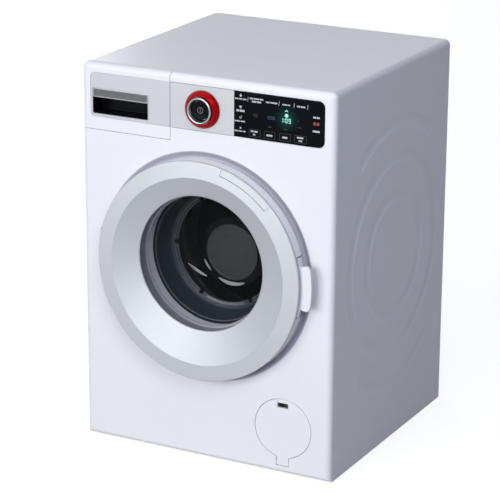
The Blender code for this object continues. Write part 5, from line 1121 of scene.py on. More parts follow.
def handle():
    inset = HANDLE_ANGLE - 0.25
    body = [(x, z + DOOR_Z) for x, z in arc(BODY_RADII[0], -inset, inset, BODY_ARC)
            + arc(BODY_RADII[1], inset, -inset, BODY_ARC)]
    tongue_zs = (DOOR_Z - TONGUE_HALF, DOOR_Z + TONGUE_HALF)
    tongue = plate(rectangle(TONGUE_XS, tongue_zs), TONGUE_DEPTHS, edge=0.4)
    bore_zs = (DOOR_Z - HANDLE_BORE_REACH, DOOR_Z + HANDLE_BORE_REACH)
    return worked(handle_bar(), ("add", plate(body, BODY_DEPTHS)), ("add", tongue),
                  ("cut", upright_rod(HANDLE_PIN, HANDLE_PIVOT, bore_zs, 24)))


lever = piece(handle(), "handle_lever", "handle", "white_plastic", "door_handle")
print("handle:", len(lever.data.polygons), "faces")

# %% [markdown]
# Left of the display a brushed foil lies in the same shallow pocket, with a hole for the
# dial's hollow shaft. The foil is one flat sheet, so it is a plate with rounded edges.

# %% Foil around the dial
FOIL_EDGE = 0.15
FOIL_THICK = 0.6
FOIL_XS = (SEAM_X + SEAM, DISPLAY_LEFT - SEAM)
BAND_LOW = BAND_ZS[0] + SEAM
BAND_HIGH = BAND_ZS[1] - SEAM
foil = plate(rectangle(FOIL_XS, (BAND_LOW, BAND_HIGH)), (0.0, FOIL_THICK), edge=FOIL_EDGE)
foil = worked(foil, ("cut", pegs(DIAL_HOLE, [DIAL_PLACE], (-1, 2))))
piece(foil, "foil_around_dial", "cabinet", "brushed_foil", "control_fascia")
print("foil is", round(FOIL_XS[1] - FOIL_XS[0], 2), "mm wide")

# %% [markdown]
# The display is a glossy black window. A teal lamp behind it shows through in one soft spot.
# The spot is part of the finish: a round gradient around a point drives the emission, so it
# stays at its place on the glass from every side.

# %% Display glass
GLASS_FACE = -0.3
GLASS_EDGE = 0.2
GLASS_XS = (DISPLAY_LEFT + SEAM, BAND_XS[1] - SEAM)
GLOW_PLACE = (57.9, 0, 239.9)
GLOW_REACH = 10.5
GLOW_DEPTH = 0.1
GLOW_COLOUR = (0.0015, 0.085, 0.07, 1)
GLOW_POWER = 2.2


def glowing(material):
    """Adds a round glow around a point to a finish."""
    tree = material.node_tree
    shader = tree.nodes["Principled BSDF"]
    where = tree.nodes.new("ShaderNodeTexCoord")
    mapping = tree.nodes.new("ShaderNodeMapping")
    mapping.vector_type = "TEXTURE"
    mapping.inputs["Location"].default_value = at(*GLOW_PLACE)
    mapping.inputs["Scale"].default_value = (GLOW_REACH * MM, GLOW_DEPTH, GLOW_REACH * MM)
    ball = tree.nodes.new("ShaderNodeTexGradient")
    ball.gradient_type = "SPHERICAL"
    tree.links.new(where.outputs["Object"], mapping.inputs["Vector"])
    tree.links.new(mapping.outputs["Vector"], ball.inputs["Vector"])
    tree.links.new(math_node(tree, "POWER", ball.outputs["Fac"], GLOW_POWER),
                   shader.inputs["Emission Strength"])
    shader.inputs["Emission Color"].default_value = GLOW_COLOUR


glass = plate(rectangle(GLASS_XS, (BAND_LOW, BAND_HIGH)), (GLASS_FACE, FOIL_THICK),
              corner=(0, BAND_CORNER, BAND_CORNER, 0), edge=GLASS_EDGE)
glowing(GLOSS)
piece(glass, "display_glass", "cabinet", "black_gloss", "display_window")
print("glow reaches", GLOW_REACH, "mm")

# %% [markdown]
# The marks on the glass are printed, so they are very thin plates that lie on it. Rows of
# short bars stand for the names of the keys. Each key has a rounded outline.

# %% Helpers for printed bars and keys
INK = 0.03
BAR_CORNER = 0.22
KEY_CORNER = 0.5
KEY_STROKE = 0.22


def mark(outline):
    """A thin printed plate on the glass."""
    return plate(outline, (GLASS_FACE - INK, GLASS_FACE + 0.02))


def bars(x, z, lengths, height, gap=0.42):
    """A row of short bars, from the left."""
    made = []
    for length in lengths:
        made.append(mark(soft_rectangle((x, x + length), (z - height / 2, z + height / 2),
                                        BAR_CORNER, steps=3)))
        x += length + gap
    return made


def key_outline(xs, zs):
    inner_xs = (xs[0] + KEY_STROKE, xs[1] - KEY_STROKE)
    inner_zs = (zs[0] + KEY_STROKE, zs[1] - KEY_STROKE)
    middle = plate(soft_rectangle(inner_xs, inner_zs, KEY_CORNER - KEY_STROKE),
                   (GLASS_FACE - 1, GLASS_FACE + 1))
    return worked(mark(soft_rectangle(xs, zs, KEY_CORNER)), ("cut", middle))


print("ink is", INK, "mm thick")

# %% [markdown]
# Figures are made of seven segments, as on any such display. Each segment is a letter from a
# to g, and each figure is the list of the segments that it lights.

# %% Helpers for figures
SEGMENTS = {"0": "abcdef", "1": "bc", "2": "abged", "4": "fgbc", "9": "abcdfg"}
FIGURE_WIDTH = 0.55
FIGURE_STEP = 0.75
SEGMENT_GAP = 0.03
COLON = (0.28, 0.66)


def figure(sign, x, z, height, stroke):
    """A seven-segment figure with its low left corner at x, z."""
    width = height * FIGURE_WIDTH
    half = height / 2
    lies = {"a": (0, height - stroke, width, stroke), "g": (0, half - stroke / 2, width, stroke),
            "d": (0, 0, width, stroke), "f": (0, half, stroke, half),
            "b": (width - stroke, half, stroke, half), "e": (0, 0, stroke, half),
            "c": (width - stroke, 0, stroke, half)}
    inset = SEGMENT_GAP * height
    made = []
    for name in SEGMENTS[sign]:
        left, low, wide, tall = lies[name]
        across = inset if wide > tall else 0
        along = inset if tall > wide else 0
        made.append(mark(rectangle((x + left + across, x + left + wide - across),
                                   (z + low + along, z + low + tall - along))))
    return made


def figures(text, x, z, height, stroke):
    """A row of figures. A colon is two square dots."""
    made = []
    for sign in text:
        if sign == ":":
            lows = [z + height * share for share in COLON]
            made += [mark(rectangle((x, x + stroke), (low, low + stroke))) for low in lows]
            x += stroke * 2
        else:
            made += figure(sign, x, z, height, stroke)
            x += height * FIGURE_STEP
    return made


print("figures known:", "".join(SEGMENTS))

# %% [markdown]
# The signs at the left are generic: a drop, a coat, a cup and a dot. The coat and the cup
# are outlines of a few points, written for a sign that reaches 1 up and down.

# %% Signs
COAT = ((-0.5, -1), (0.5, -1), (0.5, 0.2), (0.85, 0), (1.05, 0.45), (0.4, 1), (0.15, 0.8),
        (-0.15, 0.8), (-0.4, 1), (-1.05, 0.45), (-0.85, 0), (-0.5, 0.2))
CUP = ((-0.6, -1), (0.45, -1), (0.6, 0.5), (1.0, 1.0), (0.7, 1.05), (0.35, 0.65), (0.2, -0.7),
       (-0.4, -0.7), (-0.5, 0.5), (-0.8, 0.5))


def drop(x, z, size):
    return mark(arc(size * 0.42, 150, 390, 14, x, z - size * 0.1) + [(x, z + size * 0.62)])


def drawn(points, x, z, size):
    """A sign from an outline of a few points."""
    return mark([(x + px * size / 2, z + pz * size / 2) for px, pz in points])


print("signs: a drop, a coat of", len(COAT), "points, a cup of", len(CUP), "points")

# %% [markdown]
# Everything that is printed in one colour becomes one piece. A row of bars is written as its
# left end, its height on the glass, the lengths of its bars, and how tall they are.

# %% White print
LEFT_COLUMN = ((21.4, 248.8, (2.5, 2.2, 2.7), 0.85), (21.4, 246.4, (8.2,), 0.2),
               (22.5, 241.2, (1.9, 3.5), 1.35), (21.4, 239.2, (8.2,), 0.2),
               (21.2, 234.4, (3.9, 3.2), 0.85), (21.4, 232.1, (8.2,), 0.2),
               (21.1, 228.0, (2.9, 2.2, 2.0), 0.8))
TOP_ROW = ((31.9, 250.0, (2.7, 3.5, 2.6), 0.95), (33.4, 248.1, (3.0, 3.2), 1.1),
           (43.4, 248.9, (2.6, 4.9), 0.95), (54.9, 248.8, (3.6, 1.3), 0.85),
           (65.0, 248.8, (2.4, 3.0), 0.95))
SLASHES = (30.3, 52.2, 62.7, 72.2)
SLASH = ((0, 247.6), (0.3, 247.6), (0.75, 250.6), (0.45, 250.6))
KEY_NAMES = ((32.8, 228.9, (2.0, 2.4), 1.1), (34.3, 226.9, (1.7,), 0.9),
             (43.9, 227.7, (4.2,), 1.2), (55.0, 227.7, (3.6,), 1.2), (65.3, 228.9, (4.4,), 1.1),
             (66.4, 226.9, (2.6,), 0.9), (76.3, 243.2, (2.1, 2.0), 1.2),
             (76.1, 234.4, (4.9,), 1.2))
WHITE_INK = finish("white_ink", (0.42, 0.43, 0.46), 0.5, cloud=0.1, grain=3000, height=0.004)

prints = [made for row in LEFT_COLUMN + TOP_ROW + KEY_NAMES for made in bars(*row)]
prints += [drop(25.6, 251.1, 1.9), drawn(COAT, 25.5, 243.6, 1.9), drawn(CUP, 25.6, 237.1, 2.0),
           mark(arc(0.62, 0, 330, 11, 25.5, 230.1))]
prints += [mark([(left + x, z) for x, z in SLASH]) for left in SLASHES]
print("white marks:", len(prints))
piece(joined(*prints), "display_print", "cabinet", "white_plastic", look=WHITE_INK)

# %% [markdown]
# The key outlines and a few small signs are faint grey, as marks that aren't lit.

# %% Grey print
KEY_XS = ((31.6, 39.6), (42.2, 50.0), (53.0, 60.8), (63.4, 72.0))
KEY_ZS = (225.4, 230.3)
FAINT = ((45.2, 233.2, (2.2,), 0.5), (56.3, 233.0, (2.2,), 0.5), (53.6, 232.0, (10.0,), 0.15),
         (64.8, 235.3, (0.5, 2.6), 0.4), (65.4, 239.4, (1.2,), 0.4))
GREY_INK = finish("grey_ink", (0.006, 0.0063, 0.007), 0.5, cloud=0.1, grain=3000,
                  height=0.004)

keys = [key_outline(xs, KEY_ZS) for xs in KEY_XS]
faint = figures("40", 34.6, 238.3, 2.1, 0.3) + [made for row in FAINT for made in bars(*row)]
piece(joined(*keys, *faint), "display_grey_print", "cabinet", "charcoal_plastic", look=GREY_INK)
print("keys:", len(keys), "faint marks:", len(faint))

# %% [markdown]
# Lit marks shine through the glass: the time with a round clock and an arrow above it, the
# speed, and a red sign at the right. They are emissive, but weak, so they glow in the picture
# and light nothing around them.

# %% Lit marks
CLOCK = (1.25, 0, 345, 23, 57.9, 242.0)
ARROW = ((56.6, 244.4), (57.2, 244.4), (57.9, 245.1), (58.6, 244.4), (59.2, 244.4),
         (57.9, 245.8))
TEAL, BLUE, LAMP_RED = (0.42, 0.95, 0.80), (0.05, 0.14, 0.40), (0.60, 0.03, 0.02)
UNLIT_SHARE = 0.15


def lit(name, colour, strength):
    """A finish for a mark with a lamp behind it."""
    made = finish(name, tuple(c * UNLIT_SHARE for c in colour), 0.3, cloud=0.1, grain=2000,
                  height=0.002)
    shader = made.node_tree.nodes["Principled BSDF"]
    shader.inputs["Emission Color"].default_value = (*colour, 1)
    shader.inputs["Emission Strength"].default_value = strength
    return made


time_marks = [*figures("1:09", 53.9, 237.2, 3.0, 0.42), mark(arc(*CLOCK)), mark(ARROW)]
piece(joined(*time_marks), "display_time", "cabinet", "clear_plastic",
      look=lit("lit_teal", TEAL, 0.8))
piece(joined(*figures("1200", 43.8, 238.2, 2.1, 0.3)), "display_speed", "cabinet",
      "clear_plastic", look=lit("lit_blue", BLUE, 0.14))
piece(joined(*bars(76.5, 239.2, (1.8, 1.8), 2.0, 0.5)), "display_state", "cabinet", "red_clear",
      look=lit("lit_red", LAMP_RED, 0.22))
print("lit marks: time, speed and state")

# %% [markdown]
# The dial is a chromed cup in a flared red ring. In the cup sits a dark dished button with a
# start sign. All three are turned about the same line and move on their own joints.

# %% Dial and button
DIAL_STEPS = 96
SIGN_STEPS = 48
RED_RING = ((9.2, -4, 0.15), (9.85, -4, 0.2), (10.75, -3.4, 0.8), (11.55, -2.5, 0.8),
            (12.4, -0.95, 0.3), (12.4, -0.3), (9.2, -0.3))
DIAL_CUP = ((2.1, -1.6), (6.35, -1.6), (6.35, -2.9, 0.2), (7.1, -4.6, 0.8), (7.45, -5.2, 0.2),
            (7.8, -5.4, 0.2), (8.2, -5.4, 0.2), (8.7, -4.9, 0.3), (8.55, -2.8, 1.0),
            (8.7, -0.4), (4.2, -0.4), (4.2, 9), (2.1, 9))
BUTTON = ((0, -2.95), (2.5, -2.98), (4.5, -3.1), (5.7, -3.3, 0.3), (6.15, -3.2, 0.15),
          (6.15, -2.8), (1.5, -2.8), (1.5, 10.5), (0, 10.5))
SIGN_RING = ((1.7, -3.02), (2.05, -3.02), (2.05, -2.9), (1.7, -2.9))
SIGN_BAR, SIGN_DEPTHS = (0.17, 1.0), (-3.01, -2.9)
GREY_SIGN = finish("grey_sign", (0.16, 0.165, 0.17), 0.45, cloud=0.1, grain=3000, height=0.003)

piece(turned(RED_RING, *DIAL_PLACE, DIAL_STEPS), "red_ring", "cabinet", "red_clear", "dial_ring")
piece(turned(DIAL_CUP, *DIAL_PLACE, DIAL_STEPS), "dial_cup", "dial", "chrome_plate",
      "programme_dial")
piece(turned(BUTTON, *DIAL_PLACE, DIAL_STEPS, closed=False), "dished_button", "button",
      "black_plastic", "start_button")
x, z = DIAL_PLACE
upright = rectangle((x - SIGN_BAR[0], x + SIGN_BAR[0]), (z - SIGN_BAR[1], z + SIGN_BAR[1]))
sign = joined(turned(SIGN_RING, x, z, SIGN_STEPS), plate(upright, SIGN_DEPTHS))
piece(sign, "start_sign", "button", "silver_paint", look=GREY_SIGN)
print("dial, button and sign in place")

# %% [markdown]
# The drawer's front is the corner of the cabinet, so it starts as the same rounded block,
# kept only inside a plate. Its edges towards the seams are rounded by a bevel.

# %% Drawer front
DRAWER_RIGHT = SEAM_X - SEAM
DRAWER_FOOT = DRAWER_LOW + SEAM
DRAWER_THICK = 4.2
DRAWER_SKIN = 2.2
LABEL_THICK = 0.5
LABEL_GAP = 0.12
LABEL_CORNERS = (BAND_CORNER, 0, 0, BAND_CORNER)
GRIP_XS = (-83.3, -42.2)
GRIP_ZS = (226.5, 243.1)
GRIP_ROOM = 1.5


def widened(span, amount, upper=None):
    """A span of two values, made longer at its low end and at its high end."""
    return (span[0] - amount, span[1] + (amount if upper is None else upper))


def drawer_front():
    front = shell_block()
    keep = plate(rectangle((-HALF_WIDTH - 4, DRAWER_RIGHT), (DRAWER_FOOT, SHELL_HIGH + 4)),
                 (-4, DRAWER_THICK))
    label_xs = (BAND_XS[0] - 0.02, DRAWER_RIGHT + 4)
    label_room = plate(soft_rectangle(label_xs, widened((BAND_LOW, BAND_HIGH), LABEL_GAP),
                                      LABEL_CORNERS), (-OVER, LABEL_THICK))
    hollow = plate(rectangle((-HALF_WIDTH + DRAWER_SKIN, DRAWER_RIGHT - 1.6),
                             (DRAWER_LOW + 1.8, SHELL_HIGH - DRAWER_SKIN)), (DRAWER_SKIN, 6))
    grip = block(widened(GRIP_XS, GRIP_ROOM), (-OVER, 6), widened(GRIP_ZS, GRIP_ROOM))
    return worked(front, ("keep", keep), ("cut", label_room), ("cut", hollow), ("cut", grip))


def on_seam(edge):
    """Whether an edge runs along a seam, on the front face."""
    points = [v.co for v in edge.verts]
    return (all(abs(p.y - FRONT) < WELD for p in points)
            and (all(abs(p.x - DRAWER_RIGHT * MM) < WELD for p in points)
                 or all(abs(p.z - DRAWER_FOOT * MM) < WELD for p in points)))


front_corner = drawer_front()
softened(front_corner, [e for e in front_corner.edges if on_seam(e)], SEAM, EDGE_ROUNDS)
corner = piece(front_corner, "drawer_corner", "drawer", "white_plastic", "drawer_front")
print("drawer front:", len(corner.data.polygons), "faces")

# %% [markdown]
# A foil label covers the band of the drawer and continues the foil around the dial. In it
# sits the finger recess, a black cup.

# %% Label and finger recess
CUP_RIM = 1.2
CUP_ROUNDING = 0.8
label = plate(soft_rectangle((BAND_XS[0] + SEAM, DRAWER_RIGHT), (BAND_LOW, BAND_HIGH),
                             LABEL_CORNERS), (0, LABEL_THICK), edge=FOIL_EDGE)
label_hole = block(widened(GRIP_XS, 0.2, 0.1), (-1, 2), widened(GRIP_ZS, 0.2))
piece(worked(label, ("cut", label_hole)), "drawer_foil", "drawer", "brushed_foil",
      "drawer_label")
cup = plate(soft_rectangle(widened(GRIP_XS, CUP_RIM), widened(GRIP_ZS, CUP_RIM), 1), (0.4, 13.2))
cup_room = plate(soft_rectangle(GRIP_XS, GRIP_ZS, CUP_ROUNDING), (12, -1), edge=CUP_ROUNDING)
piece(worked(cup, ("cut", cup_room)), "finger_recess", "drawer", "black_plastic", "grip_cup")
print("finger recess:", GRIP_XS[1] - GRIP_XS[0], "mm wide")

# %% [markdown]
# Around the recess's mouth lies a thin chromed frame. Its broad upper bar carries a darker
# brushed strip between two bright edges.

# %% Grip frame
FRAME_CORNER = 1.2
BAR_ZS = (237.2, 243.3)
STRIP_BOX = ((GRIP_XS[0] + 0.6, GRIP_XS[1] - 0.5), (238.0, 242.5))
DARK_BRUSH = finish("dark_brushed_strip", (0.10, 0.103, 0.11), 0.38, metal=0.6, cloud=0.12,
                    grain=1500, height=0.008, rough_spread=0.1, stretch=(0.05, 1, 1))
trim = plate(soft_rectangle(widened(GRIP_XS, 0.45, 0.3), widened(GRIP_ZS, 0.4, 0.35),
                            FRAME_CORNER), (-0.3, 0.38), edge=0.15)
trim = worked(trim, ("cut", plate(soft_rectangle(GRIP_XS, GRIP_ZS, CUP_ROUNDING), (-2, 2))))
bar = plate(rectangle(widened(GRIP_XS, 0.3, 0.15), BAR_ZS), (-0.32, 0.2), edge=0.2)
bar = worked(bar, ("cut", block(STRIP_BOX[0], (-1, -0.15), STRIP_BOX[1])))
piece(joined(trim, bar), "grip_frame", "drawer", "chrome_plate", "grip_trim")
piece(plate(rectangle(*STRIP_BOX), (-0.22, -0.1)), "grip_strip", "drawer", "steel",
      look=DARK_BRUSH)
print("grip frame with its strip in place")

# %% [markdown]
# Behind the front hangs the tray with its three wells, and the sleeve it slides in. They
# show when the drawer is pulled. Corners inside a moulded tray are round, so the wells are
# cut with rounded cutters.

# %% Tray and sleeve
TRAY_XS = (-85.5, -32.0)
TRAY_DEPTHS = (4.5, 88.5)
TRAY_ZS = (220.0, 250.0)
TRAY_WALL = 1.6
TRAY_OPEN = 262
WALL_SHARES = (0.3, 0.66)
WELL_START = 15.1
WELL_ROUNDING = 1.2
CUP_SPACE = (0, 13.5)
SLEEVE = ((-87.6, -29.9), (217.9, 252.1))
SLEEVE_DEPTHS = (7.2, 90.6)
SLEEVE_ROOM = (TRAY_SLOT[0], (0, 89.1), TRAY_SLOT[2])


def tray():
    left, right = TRAY_XS[0] + TRAY_WALL, TRAY_XS[1] - TRAY_WALL
    walls = [left + (right - left) * share for share in WALL_SHARES]
    starts = [left] + [wall + TRAY_WALL / 2 for wall in walls]
    ends = [wall - TRAY_WALL / 2 for wall in walls] + [right]
    inner_depths = (WELL_START, TRAY_DEPTHS[1] - TRAY_WALL)
    inner_zs = (TRAY_ZS[0] + TRAY_WALL, TRAY_OPEN)
    wells = [block(xs, inner_depths, inner_zs, edge=WELL_ROUNDING) for xs in zip(starts, ends)]
    return worked(block(TRAY_XS, TRAY_DEPTHS, TRAY_ZS, edge=0.4), ("cut", joined(*wells)),
                  ("cut", block((left, right), CUP_SPACE, inner_zs)))


tray_body = piece(tray(), "drawer_tray_body", "drawer", "white_plastic", "drawer_tray")
sleeve = worked(plate(rectangle(*SLEEVE), SLEEVE_DEPTHS, edge=0.3),
                ("cut", block(*SLEEVE_ROOM)))
piece(sleeve, "drawer_sleeve", "cabinet", "charcoal_plastic", "drawer_chute")
print("tray:", len(tray_body.data.polygons), "faces")

# %% [markdown]
# Behind the mouth a dark rubber funnel leads to the drum. Its section is thin, with a rolled
# rim at the front and a lip at the back that reaches inwards. Six small notches are cut into
# the lip.

# %% Door seal
SEAL_STEPS = 144
SEAL_NOTCHES = 6
NOTCH_STEP = 360 / SEAL_NOTCHES
NOTCH_RADIUS = 1.5
NOTCH_DEPTHS = (26, 32)
LIP_RADIUS = 37.0
SEAL_SECTION = ((43.0, 11.4, 0.7), (44.5, 11.4, 0.7), (44.7, 13.1, 0.15), (52, 13.1, 0.1),
                (52, 13.9, 0.1), (46.0, 13.9, 0.4), (43.1, 24), (42.6, 25.2, 0.3),
                (42.4, 27.4, 0.5), (41.6, 29.9, 0.45), (40.6, 29.9, 0.45), (40.4, 28.7, 0.2),
                (39.3, 28.7, 0.2), (39.0, 30, 0.4), (36.1, 30, 0.4), (36.0, 28.3, 0.5),
                (40.4, 26.4, 0.8), (41.2, 24.6, 0.5), (41.5, 23.4, 0.3), (43.2, 14.4, 0.3))

notch_places = arc(LIP_RADIUS, 0, 360 - NOTCH_STEP, SEAL_NOTCHES - 1, 0, MOUTH_Z)
seal = worked(turned(SEAL_SECTION, 0, MOUTH_Z, SEAL_STEPS),
              ("cut", pegs(NOTCH_RADIUS, notch_places, NOTCH_DEPTHS, 20)))
piece(seal, "rubber_seal", "cabinet", "seal_rubber", "door_seal")
print("seal notches:", SEAL_NOTCHES)

# %% [markdown]
# The seal is seen by thin lines of light on its beads. Dark rubber in a dark mouth catches
# little, so these lines are painted highlights: slightly raised rings of a paler grey, one round
# the front rim, two on the lip that stop at each notch, and a broader pale strip at the foot of
# the lip.

# %% Beads on the seal
NOTCH_GAP = 3.0
BEADS = ((36.15, 36.45, 27.95, 28.9), (37.9, 38.2, 27.15, 28.2))
RIM_LINE = ((43.6, 11.2), (43.95, 11.2), (43.95, 11.8), (43.6, 11.8))
CATCH_LIGHT = ((36.6, 27.75), (37.8, 27.25), (37.8, 28.2), (36.6, 28.9))
CATCH_ANGLES = (248, 44)
# Painted highlights on the seal's beads and on the foot of its lip.
BEAD_PAINTED_HIGHLIGHT = finish("bead_painted_highlight", (0.15, 0.16, 0.17), 0.35, cloud=0.05, grain=900, height=0.0015)
LIP_PAINTED_HIGHLIGHT = finish("lip_painted_highlight", (0.09, 0.095, 0.105), 0.35, cloud=0.05, grain=900, height=0.0015)

beads = [swept(rectangle((low, high), (near, far)), MOUTH_Z,
               number * NOTCH_STEP + NOTCH_GAP, NOTCH_STEP - 2 * NOTCH_GAP)
         for number in range(SEAL_NOTCHES) for low, high, near, far in BEADS]
rim_line = turned(RIM_LINE, 0, MOUTH_Z, SEAL_STEPS)
piece(joined(*beads, rim_line), "seal_bead_highlights", "cabinet", "seal_rubber", look=BEAD_PAINTED_HIGHLIGHT)
piece(swept(CATCH_LIGHT, MOUTH_Z, *CATCH_ANGLES), "seal_catch_light", "cabinet",
      "seal_rubber", look=LIP_PAINTED_HIGHLIGHT)
print("bead strips:", len(beads))

# %% [markdown]
# The drum is a deep ring-shaped bowl around a raised hub, all of glossy black plastic. The
# whole section is one line of points that is turned once: inside, a rolled mouth, a straight
# wall, a flat floor with round corners and the hub; outside, half an ellipse closes it.

# %% Drum bowl
DRUM_RADIUS = 60
DRUM_WALL = 1.7
DRUM_FRONT = 31.5
DRUM_BACK = 79
DRUM_MOUTH = 46.5
DRUM_STEPS = 160
INNER_RADIUS = DRUM_RADIUS - DRUM_WALL
ROLL = (DRUM_RADIUS - DRUM_MOUTH) / 4
HUB_FACE = 37.4
HUB_TOP = 18.6
HUB_FOOT = 23.5
HUB_BACK = HUB_FACE + 2 * DRUM_WALL
FLOOR_DEPTH = 70.5
BOWL_POINTS = 32
BOWL_FLATNESS = 0.75


def bowl_back(grow, lowest):
    """Half an ellipse from the wall to the hub's foot."""
    middle = (INNER_RADIUS + HUB_FOOT) / 2
    half = (INNER_RADIUS - HUB_FOOT) / 2
    angles = [math.pi * i / BOWL_POINTS for i in range(BOWL_POINTS + 1)]
    return [(middle + (half + grow) * math.cos(a),
             lowest - half * BOWL_FLATNESS * (1 - math.sin(a))) for a in angles]


inside = [(DRUM_MOUTH + ROLL * 2, DRUM_FRONT, 1.0), (DRUM_MOUTH, DRUM_FRONT + ROLL / 2, 1.2),
          (INNER_RADIUS - ROLL, DRUM_FRONT + ROLL, 2.0),
          (INNER_RADIUS, DRUM_FRONT + 2 * ROLL, 2.0), (INNER_RADIUS, FLOOR_DEPTH, 4.5),
          (HUB_FOOT + 1.5, FLOOR_DEPTH, 4.0), (24.0, HUB_FACE + 2.6, 1.2),
          (23.8, HUB_FACE, 0.5), (19.2, HUB_FACE), (18.7, HUB_FACE + 0.05),
          (0, HUB_FACE + 0.05)]
outside = [(DRUM_RADIUS, DRUM_FRONT + 2 * ROLL, 2.0)] + bowl_back(DRUM_WALL, DRUM_BACK)
outside += [(HUB_TOP, HUB_BACK, 1), (6, HUB_BACK), (6, DRUM_BACK, 0.3), (2.8, DRUM_BACK),
            (2.8, 45.7), (0, 45.7)]
drum = turned(inside[::-1] + outside, 0, DOOR_Z, DRUM_STEPS, closed=False)
print("drum section:", len(inside) + len(outside), "points")

# %% [markdown]
# Three swept paddles lift the washing. Each is lofted through stations from the wall towards
# the hub. A station is a ring of points: it gets narrower, shorter and turns on as the
# radius shrinks. The long edges are rounded, and the edges on the wall are left as they are.

# %% Lifters
LIFTERS = 3
LIFTER_STATIONS = 9
LIFTER_DEPTHS = (39, 66)
LIFTER_SWEEP = math.radians(11.5)
LIFTER_START = TURN / 12
LIFTER_ROUNDING = 1.3
LIFTER_ROUNDS = 4
KEEN = math.radians(50)
LIFTER_SHARES = ((1.0, 0.19, 0.05), (0.93, 0.15, 0.04), (0.86, 0.115, 0.03),
                 (0.80, 0.09, 0.02), (0.775, 0.06, 0.01))
LIFTER_RING = ((-1, 0), (1, 0), (1, 0.33), (1, 0.67), (1, 1), (-1, 1), (-1, 0.67), (-1, 0.33))


def between(values, share):
    """Linear in-between of the lifter's stations."""
    place = share * (len(values) - 1)
    i = min(int(place), len(values) - 2)
    part = place - i
    return [a + (b - a) * part for a, b in zip(values[i], values[i + 1])]


def station(middle, share):
    """The ring of points of one station, from 0 at the wall to 1 at the inner end."""
    reach, lean, trail = between(LIFTER_SHARES, share)
    radius = reach * (DRUM_RADIUS - DRUM_WALL / 2)
    shrink = (1 - reach) * (LIFTER_DEPTHS[1] - LIFTER_DEPTHS[0])
    low, high = LIFTER_DEPTHS[0] + shrink, LIFTER_DEPTHS[1] - shrink
    ring = []
    for side, along in LIFTER_RING:
        angle = middle + side * lean + along * (trail + LIFTER_SWEEP)
        ring.append(at(radius * math.cos(angle), low + along * (high - low),
                       DOOR_Z + radius * math.sin(angle)))
    return ring


def lifter(number):
    middle = TURN * number / LIFTERS + LIFTER_START
    shares = [i / (LIFTER_STATIONS - 1) for i in range(LIFTER_STATIONS)]
    shape = lofted([station(middle, share) for share in shares])
    root = set(shape.verts[:len(LIFTER_RING)])
    keen = [e for e in shape.edges if len(e.link_faces) == 2 and e.calc_face_angle() > KEEN
            and not set(e.verts) <= root]
    softened(shape, keen, LIFTER_ROUNDING, LIFTER_ROUNDS)
    return shape


drum = worked(drum, *[("add", lifter(number)) for number in range(LIFTERS)])
drum_bowl = piece(drum, "drum_bowl", "drum", "black_plastic", "drum", look=DRUM_BLACK)
print("drum with lifters:", len(drum_bowl.data.polygons), "faces")

# %% [markdown]
# The bowl's floor carries a thin ring of a less glossy charcoal, with a round outer edge.

# %% Floor ring
FLOOR_RING = ((45, FLOOR_DEPTH - 0.3, 0.1), (58.0, FLOOR_DEPTH - 0.3, 4.6), (58.0, 62),
              (58.25, 62), (58.25, FLOOR_DEPTH + 0.1, 4.7), (45, FLOOR_DEPTH + 0.1))
piece(turned(FLOOR_RING, 0, DOOR_Z), "drum_floor_ring", "drum", "black_plastic", look=CHARCOAL)
print("floor ring from radius 45 to 58 mm")

# %% [markdown]
# Bright slivers are painted highlights on the glossy black drum, where lamps would shine in
# it: one under the hub's disc, one on the hub's edge, and three on the floor. They turn with
# the drum. Each follows an arc or a spiral, and is widest in its middle. Those on the floor lean
# inwards, so that they face the mouth.

# %% Bright slivers
SLIVER_STEPS = 24
SLIVER_TIP = 0.15
SLIVER_FULLNESS = 0.7
SLIVER_EDGE = 0.06
LEAN = 0.6
LEAN_RADIUS = 52.2
HUB_DEPTHS = (HUB_FACE - 0.3, HUB_FACE + 0.3)
FLOOR_DEPTHS = (FLOOR_DEPTH - 3.4, FLOOR_DEPTH + 0.3)
FLOOR_TURNS = (0, 120, 240)
# Painted highlights: pale and metal finishes for the slivers.
HUB_PAINTED_HIGHLIGHT = finish("hub_painted_highlight", (0.42, 0.42, 0.42), 0.3, cloud=0.05, grain=900,
                    height=0.0015)
FLOOR_PAINTED_HIGHLIGHT = finish("floor_painted_highlight", (0.5, 0.5, 0.51), 0.22, metal=1.0, cloud=0.05,
                      grain=900, height=0.001)


def sliver(radii, angles, width, depths):
    """A thin crescent between two polar places about the drum's line, angles in degrees."""
    sides = ([], [])
    for step in range(SLIVER_STEPS + 1):
        share = step / SLIVER_STEPS
        radius = radii[0] + (radii[1] - radii[0]) * share
        angle = math.radians(angles[0] + (angles[1] - angles[0]) * share)
        swell = math.sin(math.pi * share) ** SLIVER_FULLNESS
        half = SLIVER_TIP + (width / 2 - SLIVER_TIP) * swell
        for side, offset in zip(sides, (-half, half)):
            side.append(((radius + offset) * math.cos(angle),
                         DOOR_Z + (radius + offset) * math.sin(angle)))
    return plate(sides[0] + sides[1][::-1], depths, edge=SLIVER_EDGE)


def leaning(shape, level):
    """Leans the front of a flat piece, the part before a depth, towards the drum's line."""
    for vert in shape.verts:
        if vert.co.y < at(0, level, 0).y:
            radius = math.hypot(vert.co.x, vert.co.z - DOOR_Z * MM) / MM
            vert.co.y -= (radius - LEAN_RADIUS) * LEAN * MM
    return shape


